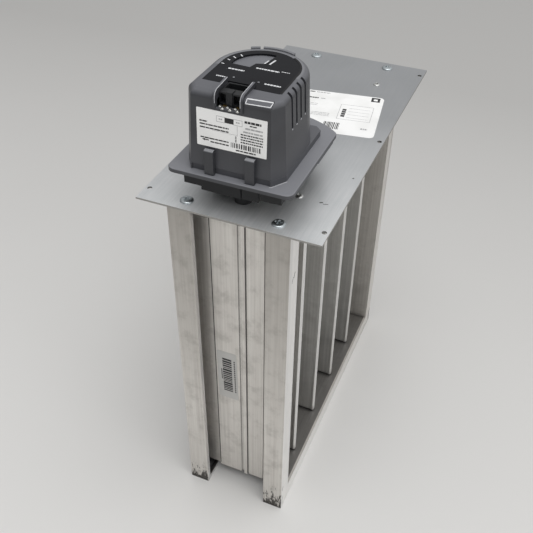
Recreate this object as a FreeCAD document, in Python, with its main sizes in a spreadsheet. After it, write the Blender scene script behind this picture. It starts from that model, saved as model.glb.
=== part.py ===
import FreeCAD, Part
import math
import os
import Sketcher
from types import SimpleNamespace

# Slide-in volume control damper with a zone actuator on its mounting plate.
# X runs with the air, Y along the frame, Z up. The origin is on the floor under the
# middle of the frame. The blades stand open, in line with the air.

SIZES = (
    # Lipped channel of the frame
    ("frame_depth", 102.2),
    ("frame_length", 307.0),
    ("frame_height", 351.8),
    ("channel_depth", 18.4),
    ("leg_wall", 1.6),
    ("web_wall", 1.5),
    ("lip_width", 19.7),
    ("bead_depth", 4.6),
    ("bead_wall", 1.4),
    ("plateau_half", 24.0),
    ("plateau_wall", 2.8),
    ("groove_depth", 1.2),
    ("groove_start", 0.4),
    ("rib_start", 3.7),
    ("rib_end", 7.0),
    ("groove_end", 8.3),
    ("rib_height", 0.7),
    ("key_wall", 2.5),
    ("key_width", 13.0),
    ("key_leg", 34.0),
    # Mounting plate
    ("plate_side_overhang", 25.1),
    ("plate_end_overhang", 3.3),
    ("plate_wall", 1.6),
    ("edge_hole_inset", 3.8),
    ("edge_hole_radius", 2.0),
    ("edge_hole_end_inset", 15.3),
    ("screw_side_inset", 13.1),
    ("screw_end_inset", 8.5),
    ("screw_radius", 2.4),
    ("screw_head_radius", 5.4),
    ("screw_head_height", 1.9),
    ("screw_length", 9.0),
    ("rivet_side_inset", 12.3),
    ("rivet_end_inset", 48.5),
    ("rivet_radius", 1.6),
    ("rivet_head_radius", 3.2),
    ("rivet_head_height", 1.2),
    ("hole_clearance", 0.06),
    # Blades and their pivots
    ("first_blade_gap", 1.4),
    ("last_blade_gap", 9.8),
    ("blade_overlap", 26.2),
    ("blade_thickness", 4.4),
    ("blade_skin", 1.0),
    ("edge_bead_width", 2.6),
    ("edge_bead_thickness", 5.2),
    ("tube_radius", 6.0),
    ("shaft_radius", 4.0),
    ("shaft_fit", 0.04),
    ("shaft_grip", 45.0),
    ("bush_radius", 6.0),
    ("bush_fit", 0.05),
    ("bush_flange_radius", 9.0),
    ("bush_flange", 1.7),
    ("bush_neck", 0.8),
    ("running_gap", 0.3),
    ("closed_angle", 84.0),
    # Cranks and link bar in the top channel
    ("crank_radius", 22.0),
    ("crank_start", -42.0),
    ("crank_width", 11.0),
    ("crank_wall", 2.5),
    ("crank_hub_radius", 7.5),
    ("crank_hub_height", 7.0),
    ("crank_pin_radius", 2.5),
    ("crank_pin_length", 5.4),
    ("link_width", 12.0),
    ("link_wall", 2.0),
    ("link_overhang", 9.0),
    ("pin_fit", 0.05),
    ("open_pin_gap", 0.35),
    # Stops for the two end blades
    ("stop_wall", 1.5),
    ("stop_foot", 12.0),
    ("stop_reach", 3.0),
    ("stop_gap", 0.5),
    # Actuator bracket under the flange
    ("bracket_half_width", 39.4),
    ("bracket_near", 52.5),
    ("bracket_far", 40.0),
    ("bracket_deck", 3.5),
    ("bracket_lift", 24.4),
    ("bracket_skirt", 2.5),
    ("foot_radius", 6.5),
    ("foot_across", 24.0),
    ("foot_near", 22.0),
    ("foot_far", 28.0),
    ("foot_screw_radius", 1.9),
    ("foot_screw_length", 12.0),
    ("post_radius", 7.0),
    ("post_across", 1.5),
    ("post_along", 35.5),
    # Actuator flange
    ("flange_half_width", 50.0),
    ("flange_near", 60.9),
    ("flange_far_radius", 75.5),
    ("flange_far_centre", 18.9),
    ("flange_wall", 3.2),
    ("flange_corner", 6.5),
    ("flange_edge", 0.8),
    ("flange_skirt_drop", 2.6),
    ("flange_skirt_wall", 2.2),
    ("flange_skirt_near", 2.5),
    ("flange_skirt_far", 31.0),
    # Actuator cover
    ("cover_half_width", 39.3),
    ("cover_near", 54.7),
    ("cover_round_centre", 2.0),
    ("cover_corner_x", 7.6),
    ("cover_corner_y", 11.5),
    ("cover_height", 62.5),
    ("cover_wall", 2.2),
    ("cover_draft", 2.8),
    ("cover_round", 5.5),
    ("ledge_height", 5.0),
    ("ledge_far", 33.0),
    ("ledge_corner", 5.0),
    ("skirt_depth", 0.9),
    ("notch_left", -10.8),
    ("notch_right", 8.0),
    ("notch_depth", 10.5),
    ("notch_length", 24.0),
    ("shelf_wall", 2.0),
    ("shelf_depth", 7.0),
    ("cheek_wall", 1.9),
    ("cheek_rise", 2.4),
    ("cheek_slope", 1.0),
    ("cheek_round", 5.2),
    ("cheek_inset", 1.4),
    ("raised_left", 11.3),
    ("raised_right", 30.3),
    ("rim_tab_inner", 32.8),
    ("rim_tab_outer", 35.2),
    ("rim_tab_depth", 6.0),
    ("rim_tab_rise", 0.8),
    ("vent_width", 2.8),
    ("vent_pitch", 8.4),
    ("vent_first", 30.0),
    ("vent_sill", 35.5),
    ("vent_depth", 6.3),
    ("panel_radius", 29.3),
    ("panel_near", 35.4),
    ("panel_wall", 1.2),
    ("panel_fit", 0.1),
    ("window_radius", 21.8),
    ("disc_radius", 22.4),
    ("disc_wall", 1.6),
    ("disc_gap", 0.4),
    # Drive inside the cover
    ("hub_radius", 10.0),
    ("hub_fit", 0.3),
    ("hub_start", 2.0),
    ("hub_height", 34.0),
    ("stem_radius", 4.0),
    ("gear_module", 0.8),
    ("output_teeth", 60.0),
    ("pinion_teeth", 12.0),
    ("gear_height", 4.5),
    ("gear_lift", 4.6),
    ("fine_module", 0.6),
    ("idler_teeth", 40.0),
    ("motor_teeth", 12.0),
    ("fine_height", 3.0),
    ("gear_gap", 0.8),
    ("axle_radius", 1.5),
    ("idler_angle", 240.0),
    ("motor_angle", -12.0),
    ("drive_plate_lift", 19.0),
    ("drive_plate_wall", 1.2),
    ("drive_plate_near", 45.0),
    ("drive_plate_far", 11.5),
    ("pillar_radius", 3.0),
    ("pillar_side_gap", 4.0),
    ("pillar_near", 22.0),
    ("pillar_far", 8.0),
    ("pillar_far_across", 27.4),
    ("motor_radius", 16.0),
    ("motor_board_gap", 2.3),
    ("motor_cap_radius", 7.2),
    ("motor_cap_height", 1.5),
    ("motor_shaft_radius", 1.0),
    ("motor_bore_depth", 6.0),
    ("board_drop", 17.5),
    ("board_wall", 1.6),
    ("board_side_gap", 6.0),
    ("board_near", 46.0),
    ("board_far", 8.0),
    ("stand_inset", 4.0),
    ("stand_near", 30.0),
    ("terminal_drop", 0.6),
    ("terminal_gap", 0.3),
    ("terminal_setback", 8.0),
    ("port_depth", 5.0),
    ("port_floor", 1.7),
    ("port_roof", 1.2),
    ("rib_proud", 0.7),
    ("recess_depth", 7.0),
    ("recess_length", 7.6),
    ("recess_side", 1.3),
    ("recess_back", 1.5),
    ("terminal_screw_radius", 1.5),
    ("terminal_screw_height", 1.3),
    ("latch_width", 7.2),
    ("latch_wall", 3.4),
    ("latch_height", 20.0),
    ("latch_round", 1.3),
    ("latch_left", -15.3),
    ("latch_right", 16.6),
)


class Size(float):
    """A number that also carries the text of its formula in the sheet's names."""

    def __new__(cls, value, text):
        made = super().__new__(cls, value)
        made.text = text
        return made

    def __add__(self, other):
        return Size(float(self) + float(other), f"({self.text} + {wording(other)})")

    def __radd__(self, other):
        return Size(float(other) + float(self), f"({wording(other)} + {self.text})")

    def __sub__(self, other):
        return Size(float(self) - float(other), f"({self.text} - {wording(other)})")

    def __rsub__(self, other):
        return Size(float(other) - float(self), f"({wording(other)} - {self.text})")

    def __mul__(self, other):
        return Size(float(self) * float(other), f"({self.text} * {wording(other)})")

    def __rmul__(self, other):
        return Size(float(other) * float(self), f"({wording(other)} * {self.text})")

    def __truediv__(self, other):
        return Size(float(self) / float(other), f"({self.text} / {wording(other)})")

    def __neg__(self):
        return Size(-float(self), f"(0 - {self.text})")


def wording(number):
    return getattr(number, "text", repr(float(number)))


def root(number):
    return Size(math.sqrt(number), f"sqrt({wording(number)})")


def cosine(degrees):
    return Size(math.cos(math.radians(degrees)), f"cos({wording(degrees)})")


def sine(degrees):
    return Size(math.sin(math.radians(degrees)), f"sin({wording(degrees)})")


doc = FreeCAD.newDocument("volume_control_damper")
sheet = doc.addObject("Spreadsheet::Sheet", "Sizes")
named = {}
for row, (alias, amount) in enumerate(SIZES, start=1):
    sheet.set(f"A{row}", alias)
    sheet.set(f"B{row}", str(amount))
    sheet.setAlias(f"B{row}", alias)
    named[alias] = Size(amount, f"Sizes.{alias}")
doc.recompute()
S = SimpleNamespace(**named)
pieces = []


def bind(thing, path, amount):
    """Set one property from the sheet, or plainly where the amount has no name."""
    if isinstance(amount, Size):
        thing.setExpression(path, amount.text)
    elif "." not in path:
        setattr(thing, path, amount)


def place(thing, x=0.0, y=0.0, z=0.0, turn=0.0):
    thing.Placement = FreeCAD.Placement(FreeCAD.Vector(float(x), float(y), float(z)),
                                        FreeCAD.Rotation(FreeCAD.Vector(0, 0, 1), float(turn)))
    for path, amount in (("x", x), ("y", y), ("z", z)):
        bind(thing, f"Placement.Base.{path}", amount)
    if isinstance(turn, Size):
        thing.setExpression("Placement.Rotation.Angle", turn.text)


def block(name, x, y, z):
    """A box between two limits along each axis."""
    made = doc.addObject("Part::Box", name)
    for side, (low, high) in (("Length", x), ("Width", y), ("Height", z)):
        bind(made, side, high - low)
    place(made, x[0], y[0], z[0])
    return made


def rod(name, x, y, z, radius):
    """An upright cylinder between two heights."""
    made = doc.addObject("Part::Cylinder", name)
    bind(made, "Radius", radius)
    bind(made, "Height", z[1] - z[0])
    place(made, x, y, z[0])
    return made


def joined(name, parts):
    made = doc.addObject("Part::MultiFuse", name)
    made.Shapes = parts
    made.Refine = True
    return made


def less(name, base, tools):
    made = doc.addObject("Part::Cut", name)
    made.Base = base
    made.Tool = tools[0] if len(tools) == 1 else joined(f"{name}_cuts", tools)
    made.Refine = True
    return made


def group(name, parts):
    """Identical fasteners kept as separate solids of one sub-part."""
    made = doc.addObject("Part::Compound", name)
    made.Links = parts
    return made


def keep(name, made):
    made.Label = name
    pieces.append(made)
    return made


def new_body(name):
    return doc.addObject("PartDesign::Body", name)


def sketch_on(body, name, role, lift=0.0):
    """A sketch on one of the body's own origin planes, lifted along its normal."""
    made = body.newObject("Sketcher::SketchObject", name)
    plane = next(item for item in body.Origin.OriginFeatures if item.Role == role)
    made.AttachmentSupport = (plane, [""])
    made.MapMode = "FlatFace"
    made.AttachmentOffset = FreeCAD.Placement(FreeCAD.Vector(0, 0, float(lift)),
                                              FreeCAD.Rotation())
    if isinstance(lift, Size):
        made.setExpression("AttachmentOffset.Base.z", lift.text)
    return made


def fix(sketch, kind, *args):
    """Add a sized constraint whose last argument is bound to the sheet."""
    amount = args[-1]
    index = sketch.addConstraint(Sketcher.Constraint(kind, *args[:-1], float(amount)))
    if isinstance(amount, Size):
        sketch.setExpression(f"Constraints[{index}]", amount.text)


def outline(sketch, corners):
    """A closed profile. A corner is (x, y), or (x, y, radius) where an arc leads on
    to the next corner, counter-clockwise round its centre, or clockwise if negative."""
    first = sketch.GeometryCount
    count = len(corners)
    ends = []
    for index, corner in enumerate(corners):
        here = FreeCAD.Vector(float(corner[0]), float(corner[1]), 0)
        following = corners[(index + 1) % count]
        there = FreeCAD.Vector(float(following[0]), float(following[1]), 0)
        if len(corner) == 2:
            sketch.addGeometry(Part.LineSegment(here, there))
            ends.append((1, 2))
            continue
        radius = abs(float(corner[2]))
        turn = 1.0 if corner[2] > 0 else -1.0
        chord = there - here
        height = math.sqrt(max(radius ** 2 - (chord.Length / 2) ** 2, 0.0))
        across = FreeCAD.Vector(-chord.y, chord.x, 0) / chord.Length * turn
        centre = (here + there) / 2 + across * height
        start, stop = (here, there) if turn > 0 else (there, here)
        angles = [math.atan2(point.y - centre.y, point.x - centre.x) for point in (start, stop)]
        circle = Part.Circle(centre, FreeCAD.Vector(0, 0, 1), radius)
        sketch.addGeometry(Part.ArcOfCircle(circle, angles[0], angles[1]))
        ends.append((1, 2) if turn > 0 else (2, 1))
    for index in range(count):
        onward = (index + 1) % count
        sketch.addConstraint(Sketcher.Constraint("Coincident", first + index, ends[index][1],
                                                 first + onward, ends[onward][0]))
    for index, corner in enumerate(corners):
        fix(sketch, "DistanceX", -1, 1, first + index, ends[index][0], corner[0])
        fix(sketch, "DistanceY", -1, 1, first + index, ends[index][0], corner[1])
        if len(corner) == 3:
            size = corner[2] if corner[2] > 0 else -corner[2]
            fix(sketch, "Radius", first + index, size)


def circles(sketch, places, radius):
    for x, y in places:
        centre = FreeCAD.Vector(float(x), float(y), 0)
        index = sketch.addGeometry(Part.Circle(centre, FreeCAD.Vector(0, 0, 1), float(radius)))
        fix(sketch, "DistanceX", -1, 1, index, 3, x)
        fix(sketch, "DistanceY", -1, 1, index, 3, y)
        fix(sketch, "Radius", index, radius)


def pad(body, name, sketch, length, both_ways=False):
    made = body.newObject("PartDesign::Pad", name)
    made.Profile = sketch
    bind(made, "Length", length)
    if both_ways:
        made.SideType = "Symmetric"
    sketch.Visibility = False
    doc.recompute()
    return made


def pocket(body, name, sketch, length=None, upward=False):
    """A cut from the sketch: a set depth below it, or right through both ways."""
    before = body.Shape.Volume
    made = body.newObject("PartDesign::Pocket", name)
    made.Profile = sketch
    if length is None:
        made.Type = "ThroughAll"
        made.SideType = "Symmetric"
    else:
        bind(made, "Length", length)
        made.Reversed = upward
    doc.recompute()
    if body.Shape.Volume > before - 0.01:
        raise ValueError(f"{name} cuts nothing")
    return made


def edges_where(shape, test):
    return [f"Edge{index}" for index, edge in enumerate(shape.Edges, start=1) if test(edge)]


def fillet(body, name, base, radius, test):
    made = body.newObject("PartDesign::Fillet", name)
    made.Base = (base, edges_where(base.Shape, test))
    bind(made, "Radius", radius)
    doc.recompute()
    return made


# Shared levels and places
plate_top = S.frame_height + S.plate_wall
half_depth = S.frame_depth / 2
half_length = S.frame_length / 2
blade_run = S.frame_length - S.channel_depth * 2 - S.first_blade_gap - S.last_blade_gap
blade_pitch = (blade_run - S.blade_overlap) / 4
blade_chord = blade_pitch + S.blade_overlap
drive_y = S.channel_depth + S.first_blade_gap + blade_chord / 2 - half_length
shaft_places = [drive_y + number * blade_pitch for number in range(4)]
airway_top = S.frame_height - S.channel_depth
plateau_top = S.frame_height - S.channel_depth + S.plateau_wall

# Frame: four mitred lengths of one lipped channel, open side outwards
def channel_profile():
    """The channel's section as (across, depth) pairs, depth taken from the outer plane."""
    lip = half_depth - S.lip_width
    bead = lip + S.bead_wall
    inner = half_depth - S.leg_wall
    web = S.channel_depth - S.web_wall
    raised = S.channel_depth - S.plateau_wall
    sunk = raised + S.groove_depth
    rib = raised - S.rib_height
    left = [(-half_depth, 0.0), (-lip, 0.0), (-lip, S.bead_depth), (-bead, S.bead_depth),
            (-bead, S.leg_wall), (-inner, S.leg_wall), (-inner, web), (-S.plateau_half, web),
            (-S.plateau_half, raised)]
    middle = [(S.groove_start, raised), (S.groove_start, sunk), (S.rib_start, sunk),
              (S.rib_start, rib), (S.rib_end, rib), (S.rib_end, sunk), (S.groove_end, sunk),
              (S.groove_end, raised)]
    right = [(-across, depth) for across, depth in reversed(left)]
    closing = [(half_depth, S.channel_depth), (-half_depth, S.channel_depth)]
    return left + middle + right + closing


def channel(name, role, spot, length, corners):
    """One frame member: the section padded full length, then both ends mitred."""
    body = new_body(name)
    section = sketch_on(body, f"{name}_section", role)
    outline(section, [spot(across, depth) for across, depth in channel_profile()])
    pad(body, f"{name}_bar", section, length, both_ways=role == "XZ_Plane")
    ends = sketch_on(body, f"{name}_ends", "YZ_Plane")
    for triangle in corners:
        outline(ends, triangle)
    pocket(body, f"{name}_mitres", ends)
    return body


def mitre(y_side, z_side, upright):
    """The corner wedge that one mitre takes off, as a triangle in the YZ plane."""
    y_outer = y_side * half_length
    y_inner = y_outer - y_side * S.channel_depth
    z_outer = S.frame_height * (1.0 if z_side > 0 else 0.0)
    z_inner = z_outer - z_side * S.channel_depth
    spare = (y_inner, z_outer) if upright else (y_outer, z_inner)
    return [(y_outer, z_outer), (y_inner, z_inner), spare]


frame_bottom = channel("frame_bottom", "XZ_Plane", lambda u, v: (u, v * 1.0), S.frame_length,
                       [mitre(-1, -1, False), mitre(1, -1, False)])
frame_top = channel("frame_top", "XZ_Plane", lambda u, v: (u, S.frame_height - v), S.frame_length,
                    [mitre(-1, 1, False), mitre(1, 1, False)])
frame_near = channel("frame_near", "XY_Plane", lambda u, v: (u, v - half_length), S.frame_height,
                     [mitre(-1, -1, True), mitre(-1, 1, True)])
frame_far = channel("frame_far", "XY_Plane", lambda u, v: (u, half_length - v), S.frame_height,
                    [mitre(1, -1, True), mitre(1, 1, True)])

bush_hole = S.bush_radius + S.bush_fit
shaft_spots = [(0.0, y) for y in shaft_places]
for body, label in ((frame_bottom, "lower"), (frame_top, "upper")):
    holes = sketch_on(body, f"{label}_bush_holes", "XY_Plane")
    circles(holes, shaft_spots, bush_hole)
    pocket(body, f"{label}_bush_bores", holes)

screw_x = half_depth - S.screw_side_inset
screw_y = half_length - S.screw_end_inset
rivet_x = half_depth - S.rivet_side_inset
rivet_y = half_length - S.rivet_end_inset
screw_spots = [(x * screw_x, y * screw_y) for x in (-1, 1) for y in (-1, 1)]
rivet_spots = [(x * rivet_x, y * rivet_y) for x in (-1, 1) for y in (-1, 1)]
lip_holes = sketch_on(frame_top, "lip_holes", "XY_Plane", S.frame_height)
circles(lip_holes, screw_spots, S.screw_radius + S.hole_clearance)
circles(lip_holes, rivet_spots, S.rivet_radius + S.hole_clearance)
pocket(frame_top, "lip_bores", lip_holes, S.leg_wall + S.hole_clearance)
for body in (frame_top, frame_bottom, frame_near, frame_far):
    keep(body.Name, body)

# Corner keys: bent strips behind the lips that tie neighbouring members together
keys = []
for x_side in (-1, 1):
    key_x = sorted((x_side * (half_depth - S.leg_wall), x_side * (half_depth - S.leg_wall - S.key_width)))
    for y_side in (-1, 1):
        y_face = y_side * (half_length - S.leg_wall)
        y_back = y_face - y_side * S.key_wall
        y_end = y_face - y_side * S.key_leg
        for z_side in (-1, 1):
            z_face = S.frame_height - S.leg_wall if z_side > 0 else S.leg_wall * 1.0
            z_back = z_face - z_side * S.key_wall
            z_end = z_face - z_side * S.key_leg
            tag = f"key_{len(keys)}"
            arms = [block(f"{tag}_a", key_x, sorted((y_face, y_back)), sorted((z_face, z_end))),
                    block(f"{tag}_b", key_x, sorted((y_face, y_end)), sorted((z_face, z_back)))]
            key = joined(tag, arms)
            if z_side > 0:
                bore = rod(f"{tag}_bore", x_side * screw_x, y_side * screw_y,
                           (z_back - 1.0, z_face + 1.0), S.screw_radius + S.hole_clearance)
                key = less(f"{tag}_drilled", key, [bore])
            keys.append(key)
keep("corner_keys", group("corner_keys", keys))

# Mounting plate with its edge holes, screw and rivet holes and the shaft hole
plate = new_body("mounting_plate")
plate_sketch = sketch_on(plate, "plate_outline", "XY_Plane", S.frame_height)
half_plate = half_depth + S.plate_side_overhang
half_run = half_length + S.plate_end_overhang
outline(plate_sketch, [(-half_plate, -half_run), (half_plate, -half_run),
                       (half_plate, half_run), (-half_plate, half_run)])
pad(plate, "plate_sheet", plate_sketch, S.plate_wall)
foot_spots = [(x * S.foot_across, drive_y + y) for x in (-1, 1)
              for y in (-S.foot_near, S.foot_far * 1.0)]
edge_spots = [(x * (half_plate - S.edge_hole_inset), y * (half_run - S.edge_hole_end_inset))
              for x in (-1, 1) for y in (-1, 0, 1)]
plate_holes = sketch_on(plate, "plate_holes", "XY_Plane", S.frame_height)
circles(plate_holes, edge_spots, S.edge_hole_radius)
circles(plate_holes, screw_spots, S.screw_radius + S.hole_clearance)
circles(plate_holes, rivet_spots, S.rivet_radius + S.hole_clearance)
circles(plate_holes, foot_spots, S.foot_screw_radius + S.hole_clearance)
circles(plate_holes, shaft_spots[:1], S.shaft_radius + 5 * S.running_gap)
pocket(plate, "plate_bores", plate_holes)
keep("mounting_plate", plate)


def pan_head(name, x, y, seat, head_radius, head_height, radius, length, down=1):
    """A fastener whose head rests on the seat and whose shank runs through it."""
    tip = seat - down * length
    crown = seat + down * head_height
    shank = rod(f"{name}_shank", x, y, sorted((tip, seat)), radius)
    disc = rod(f"{name}_disc", x, y, sorted((seat, crown)), head_radius)
    head = doc.addObject("Part::Fillet", f"{name}_head")
    head.Base = disc
    doc.recompute()
    rim = edges_where(disc.Shape, lambda edge: edge.isClosed() and abs(edge.CenterOfGravity.z - crown) < 0.01)
    head.Edges = [(int(edge[4:]), float(head_height) * 0.6, float(head_height) * 0.6) for edge in rim]
    return joined(name, [head, shank])


screws = [pan_head(f"plate_screw_{n}", x, y, plate_top, S.screw_head_radius, S.screw_head_height,
                   S.screw_radius, S.screw_length) for n, (x, y) in enumerate(screw_spots)]
keep("plate_screws", group("plate_screws", screws))
rivets = [pan_head(f"plate_rivet_{n}", x, y, plate_top, S.rivet_head_radius, S.rivet_head_height,
                   S.rivet_radius, S.plate_wall + S.leg_wall + 1.0) for n, (x, y) in enumerate(rivet_spots)]
keep("plate_rivets", group("plate_rivets", rivets))

# Nylon bushes: a flange on the air side, a neck through the web
upper, lower = [], []
for number, y in enumerate(shaft_places):
    bore = S.shaft_radius + S.shaft_fit
    for store, side, face in ((upper, -1, airway_top), (lower, 1, S.channel_depth * 1.0)):
        tag = f"bush_{'upper' if side < 0 else 'lower'}_{number}"
        rim = sorted((face, face + side * S.bush_flange))
        far = face - side * (S.plateau_wall + S.bush_neck)
        flange = rod(f"{tag}_flange", 0.0, y, rim, S.bush_flange_radius)
        neck = rod(f"{tag}_neck", 0.0, y, sorted((face, far)), S.bush_radius)
        hole = rod(f"{tag}_hole", 0.0, y, (min(far, rim[0]) - 1.0, max(far, rim[1]) + 1.0), bore)
        store.append(less(tag, joined(f"{tag}_solid", [flange, neck]), [hole]))
keep("upper_bushes", group("upper_bushes", upper))
keep("lower_bushes", group("lower_bushes", lower))

# Blades: a flat hollow extrusion with a beaded edge and a tube for the pivots
blade_low = S.channel_depth + S.bush_flange + S.running_gap
blade_high = airway_top - S.bush_flange - S.running_gap
half_chord = blade_chord / 2
half_skin = S.blade_thickness / 2
half_bead = S.edge_bead_thickness / 2
bead_root = half_chord - S.edge_bead_width
nose = half_chord - half_bead / 2
for number, y in enumerate(shaft_places, start=1):
    blade = new_body(f"blade_{number}")
    section = sketch_on(blade, f"blade_{number}_section", "XY_Plane", blade_low)
    quarter = [(bead_root - 0.5 * half_bead, half_skin), (bead_root, half_bead), (nose, half_bead),
               (half_chord, half_bead / 2)]
    loop = [(u, y - v) for u, v in quarter] + [(u, y + v) for u, v in reversed(quarter)]
    loop += [(-u, y + v) for u, v in quarter] + [(-u, y - v) for u, v in reversed(quarter)]
    outline(section, loop)
    pad(blade, f"blade_{number}_skins", section, blade_high - blade_low)
    tube = sketch_on(blade, f"blade_{number}_tube", "XY_Plane", blade_low)
    circles(tube, [(0.0, y)], S.tube_radius)
    pad(blade, f"blade_{number}_boss", tube, blade_high - blade_low)
    hollow = sketch_on(blade, f"blade_{number}_hollows", "XY_Plane")
    gap = half_skin - S.blade_skin
    for side in (-1, 1):
        near_edge = side * (S.tube_radius + S.blade_skin)
        far_edge = side * (bead_root - S.blade_skin)
        outline(hollow, [(near_edge, y - gap), (far_edge, y - gap), (far_edge, y + gap), (near_edge, y + gap)])
    circles(hollow, [(0.0, y)], S.shaft_radius + S.shaft_fit)
    pocket(blade, f"blade_{number}_bores", hollow)
    keep(f"blade_{number}", blade)

# Shafts, pins and cranks
crank_low = plateau_top + S.bush_neck + S.running_gap
crank_high = crank_low + S.crank_wall
link_low = crank_high + S.running_gap
cover_floor = plate_top + S.bracket_lift + S.bracket_deck + S.flange_wall
hub_low = plate_top + S.hub_start
hub_high = cover_floor + S.hub_height - S.gear_height * 3
shaft_top = crank_low + S.crank_hub_height
crank_x = S.crank_radius * cosine(S.crank_start)
crank_y = S.crank_radius * sine(S.crank_start)
for number, y in enumerate(shaft_places, start=1):
    name = "drive_shaft" if number == 1 else f"stub_shaft_{number}"
    top = hub_high - S.hub_fit if number == 1 else shaft_top
    keep(name, rod(name, 0.0, y, (blade_high - S.shaft_grip, top), S.shaft_radius))
    pin = f"lower_pin_{number}"
    keep(pin, rod(pin, 0.0, y, (S.channel_depth - S.plateau_wall - 3.0, blade_low + S.shaft_grip),
                  S.shaft_radius))
    arm = doc.addObject("Part::Box", f"crank_{number}_arm")
    bind(arm, "Length", S.crank_radius)
    bind(arm, "Width", S.crank_width)
    bind(arm, "Height", S.crank_wall)
    turned_x = S.crank_width / 2 * sine(S.crank_start)
    turned_y = S.crank_width / 2 * cosine(S.crank_start)
    place(arm, turned_x, y - turned_y, crank_low, S.crank_start)
    tip = rod(f"crank_{number}_tip", crank_x, y + crank_y, (crank_low, crank_high), S.crank_width / 2)
    hub = rod(f"crank_{number}_hub", 0.0, y, (crank_low, shaft_top), S.crank_hub_radius)
    stud = rod(f"crank_{number}_stud", crank_x, y + crank_y,
               (crank_low, crank_high + S.crank_pin_length), S.crank_pin_radius)
    bore = rod(f"crank_{number}_bore", 0.0, y, (crank_low - 1.0, shaft_top + 1.0),
               S.shaft_radius + S.shaft_fit)
    keep(f"crank_{number}", less(f"crank_{number}", joined(f"crank_{number}_solid", [arm, tip, hub, stud]),
                                 [bore]))

# Link bar: one flat strip over all four crank pins
bar_y = [shaft_places[0] + crank_y, shaft_places[3] + crank_y]
bar = block("link_strip", (crank_x - S.link_width / 2, crank_x + S.link_width / 2),
            (bar_y[0] - S.link_overhang, bar_y[1] + S.link_overhang), (link_low, link_low + S.link_wall))
bar_holes = []
for number, y in enumerate(shaft_places, start=1):
    play = S.pin_fit if number == 1 else S.open_pin_gap
    bar_holes.append(rod(f"link_hole_{number}", crank_x, y + crank_y,
                         (link_low - 1.0, link_low + S.link_wall + 1.0), S.crank_pin_radius + play))
keep("link_bar", less("link_bar", bar, bar_holes))

# Stops: angles on the near and far walls that the end blades come up to
closed_c = cosine(S.closed_angle)
closed_s = sine(S.closed_angle)
for name, side, y_shaft in (("stop_near", -1, shaft_places[0]), ("stop_far", 1, shaft_places[3])):
    wall = side * (half_length - S.channel_depth)
    edge_x = bead_root * closed_c - half_bead * closed_s - S.stop_gap
    edge_y = y_shaft + side * (half_chord * closed_s)
    tip_y = edge_y - side * S.stop_reach
    standing = block(f"{name}_leg", sorted((side * edge_x, side * (edge_x - S.stop_wall))),
                     sorted((wall, tip_y)), (blade_low, blade_high))
    foot = block(f"{name}_foot", sorted((side * edge_x, side * (edge_x - S.stop_foot))),
                 sorted((wall, wall - side * S.stop_wall)), (blade_low, blade_high))
    keep(name, joined(name, [standing, foot]))

# Actuator bracket: a black moulded tray on four feet
deck_low = plate_top + S.bracket_lift
deck_high = deck_low + S.bracket_deck
near_y = drive_y - S.bracket_near
far_y = drive_y + S.bracket_far
parts = [block("bracket_deck", (-S.bracket_half_width, S.bracket_half_width * 1.0), (near_y, far_y),
               (deck_low, deck_high))]
drops = ((-1.0, -0.64, 0.35), (-0.64, 0.178, 0.475), (0.203, 0.538, 0.455), (0.574, 1.0, 0.345))
for number, (start, stop, drop) in enumerate(drops):
    parts.append(block(f"bracket_tooth_{number}",
                       (start * S.bracket_half_width, stop * S.bracket_half_width),
                       (near_y, near_y + S.bracket_skirt),
                       (deck_low - drop * S.bracket_lift, deck_low + S.bracket_deck / 2)))
for side in (-1, 1):
    wall_x = sorted((side * S.bracket_half_width, side * (S.bracket_half_width - S.bracket_skirt)))
    parts.append(block(f"bracket_side_{side + 1}", wall_x, (near_y, far_y),
                       (deck_low - 0.345 * S.bracket_lift, deck_low + S.bracket_deck / 2)))
parts.append(block("bracket_back", (-S.bracket_half_width, S.bracket_half_width * 1.0),
                   (far_y - S.bracket_skirt, far_y),
                   (deck_low - 0.345 * S.bracket_lift, deck_low + S.bracket_deck / 2)))
cuts = [rod("bracket_hub_hole", 0.0, drive_y, (plate_top - 1.0, deck_high + 1.0),
            S.hub_radius + S.hub_fit)]
for number, (x, y) in enumerate(foot_spots):
    parts.append(rod(f"bracket_foot_{number}", x, y, (plate_top, deck_low + S.bracket_deck / 2), S.foot_radius))
    cuts.append(rod(f"bracket_pilot_{number}", x, y, (plate_top - 1.0, plate_top + S.foot_screw_length),
                    S.foot_screw_radius + S.hole_clearance))
keep("actuator_bracket", less("actuator_bracket", joined("bracket_solid", parts), cuts))
post_y = drive_y - S.post_along
keep("locating_post", rod("locating_post", S.post_across * 1.0, post_y, (plate_top, deck_low), S.post_radius))
foot_screws = [pan_head(f"bracket_screw_{n}", x, y, S.frame_height * 1.0, S.foot_screw_radius * 2, 2.2,
                        S.foot_screw_radius * 1.0, S.plate_wall + S.foot_screw_length - 1.0, down=-1)
               for n, (x, y) in enumerate(foot_spots)]
keep("bracket_screws", group("bracket_screws", foot_screws))

# Actuator base: the wide flange, straight at the near end and round at the far end
base = new_body("actuator_base")
base_sketch = sketch_on(base, "base_outline", "XY_Plane", deck_high)
y_near = drive_y - S.flange_near
corner = S.flange_corner
half = S.flange_half_width
arc_y = drive_y - S.flange_far_centre
y_bend = arc_y + root(S.flange_far_radius * S.flange_far_radius - half * half)
outline(base_sketch, [(corner - half, y_near), (half - corner, y_near, corner), (half, y_near + corner),
                      (half, y_bend, S.flange_far_radius), (-half, y_bend),
                      (-half, y_near + corner, corner)])
base_pad = pad(base, "base_slab", base_sketch, S.flange_wall)
far_corners = fillet(base, "base_far_corners", base_pad, S.flange_corner,
                     lambda edge: all(abs(v.Point.y - y_bend) < 0.01 for v in edge.Vertexes)
                     and abs(edge.Vertexes[0].Point.x - edge.Vertexes[-1].Point.x) < 0.01)
fillet(base, "base_rim", far_corners, S.flange_edge,
       lambda edge: all(abs(v.Point.z - cover_floor) < 0.01 for v in edge.Vertexes))
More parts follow.
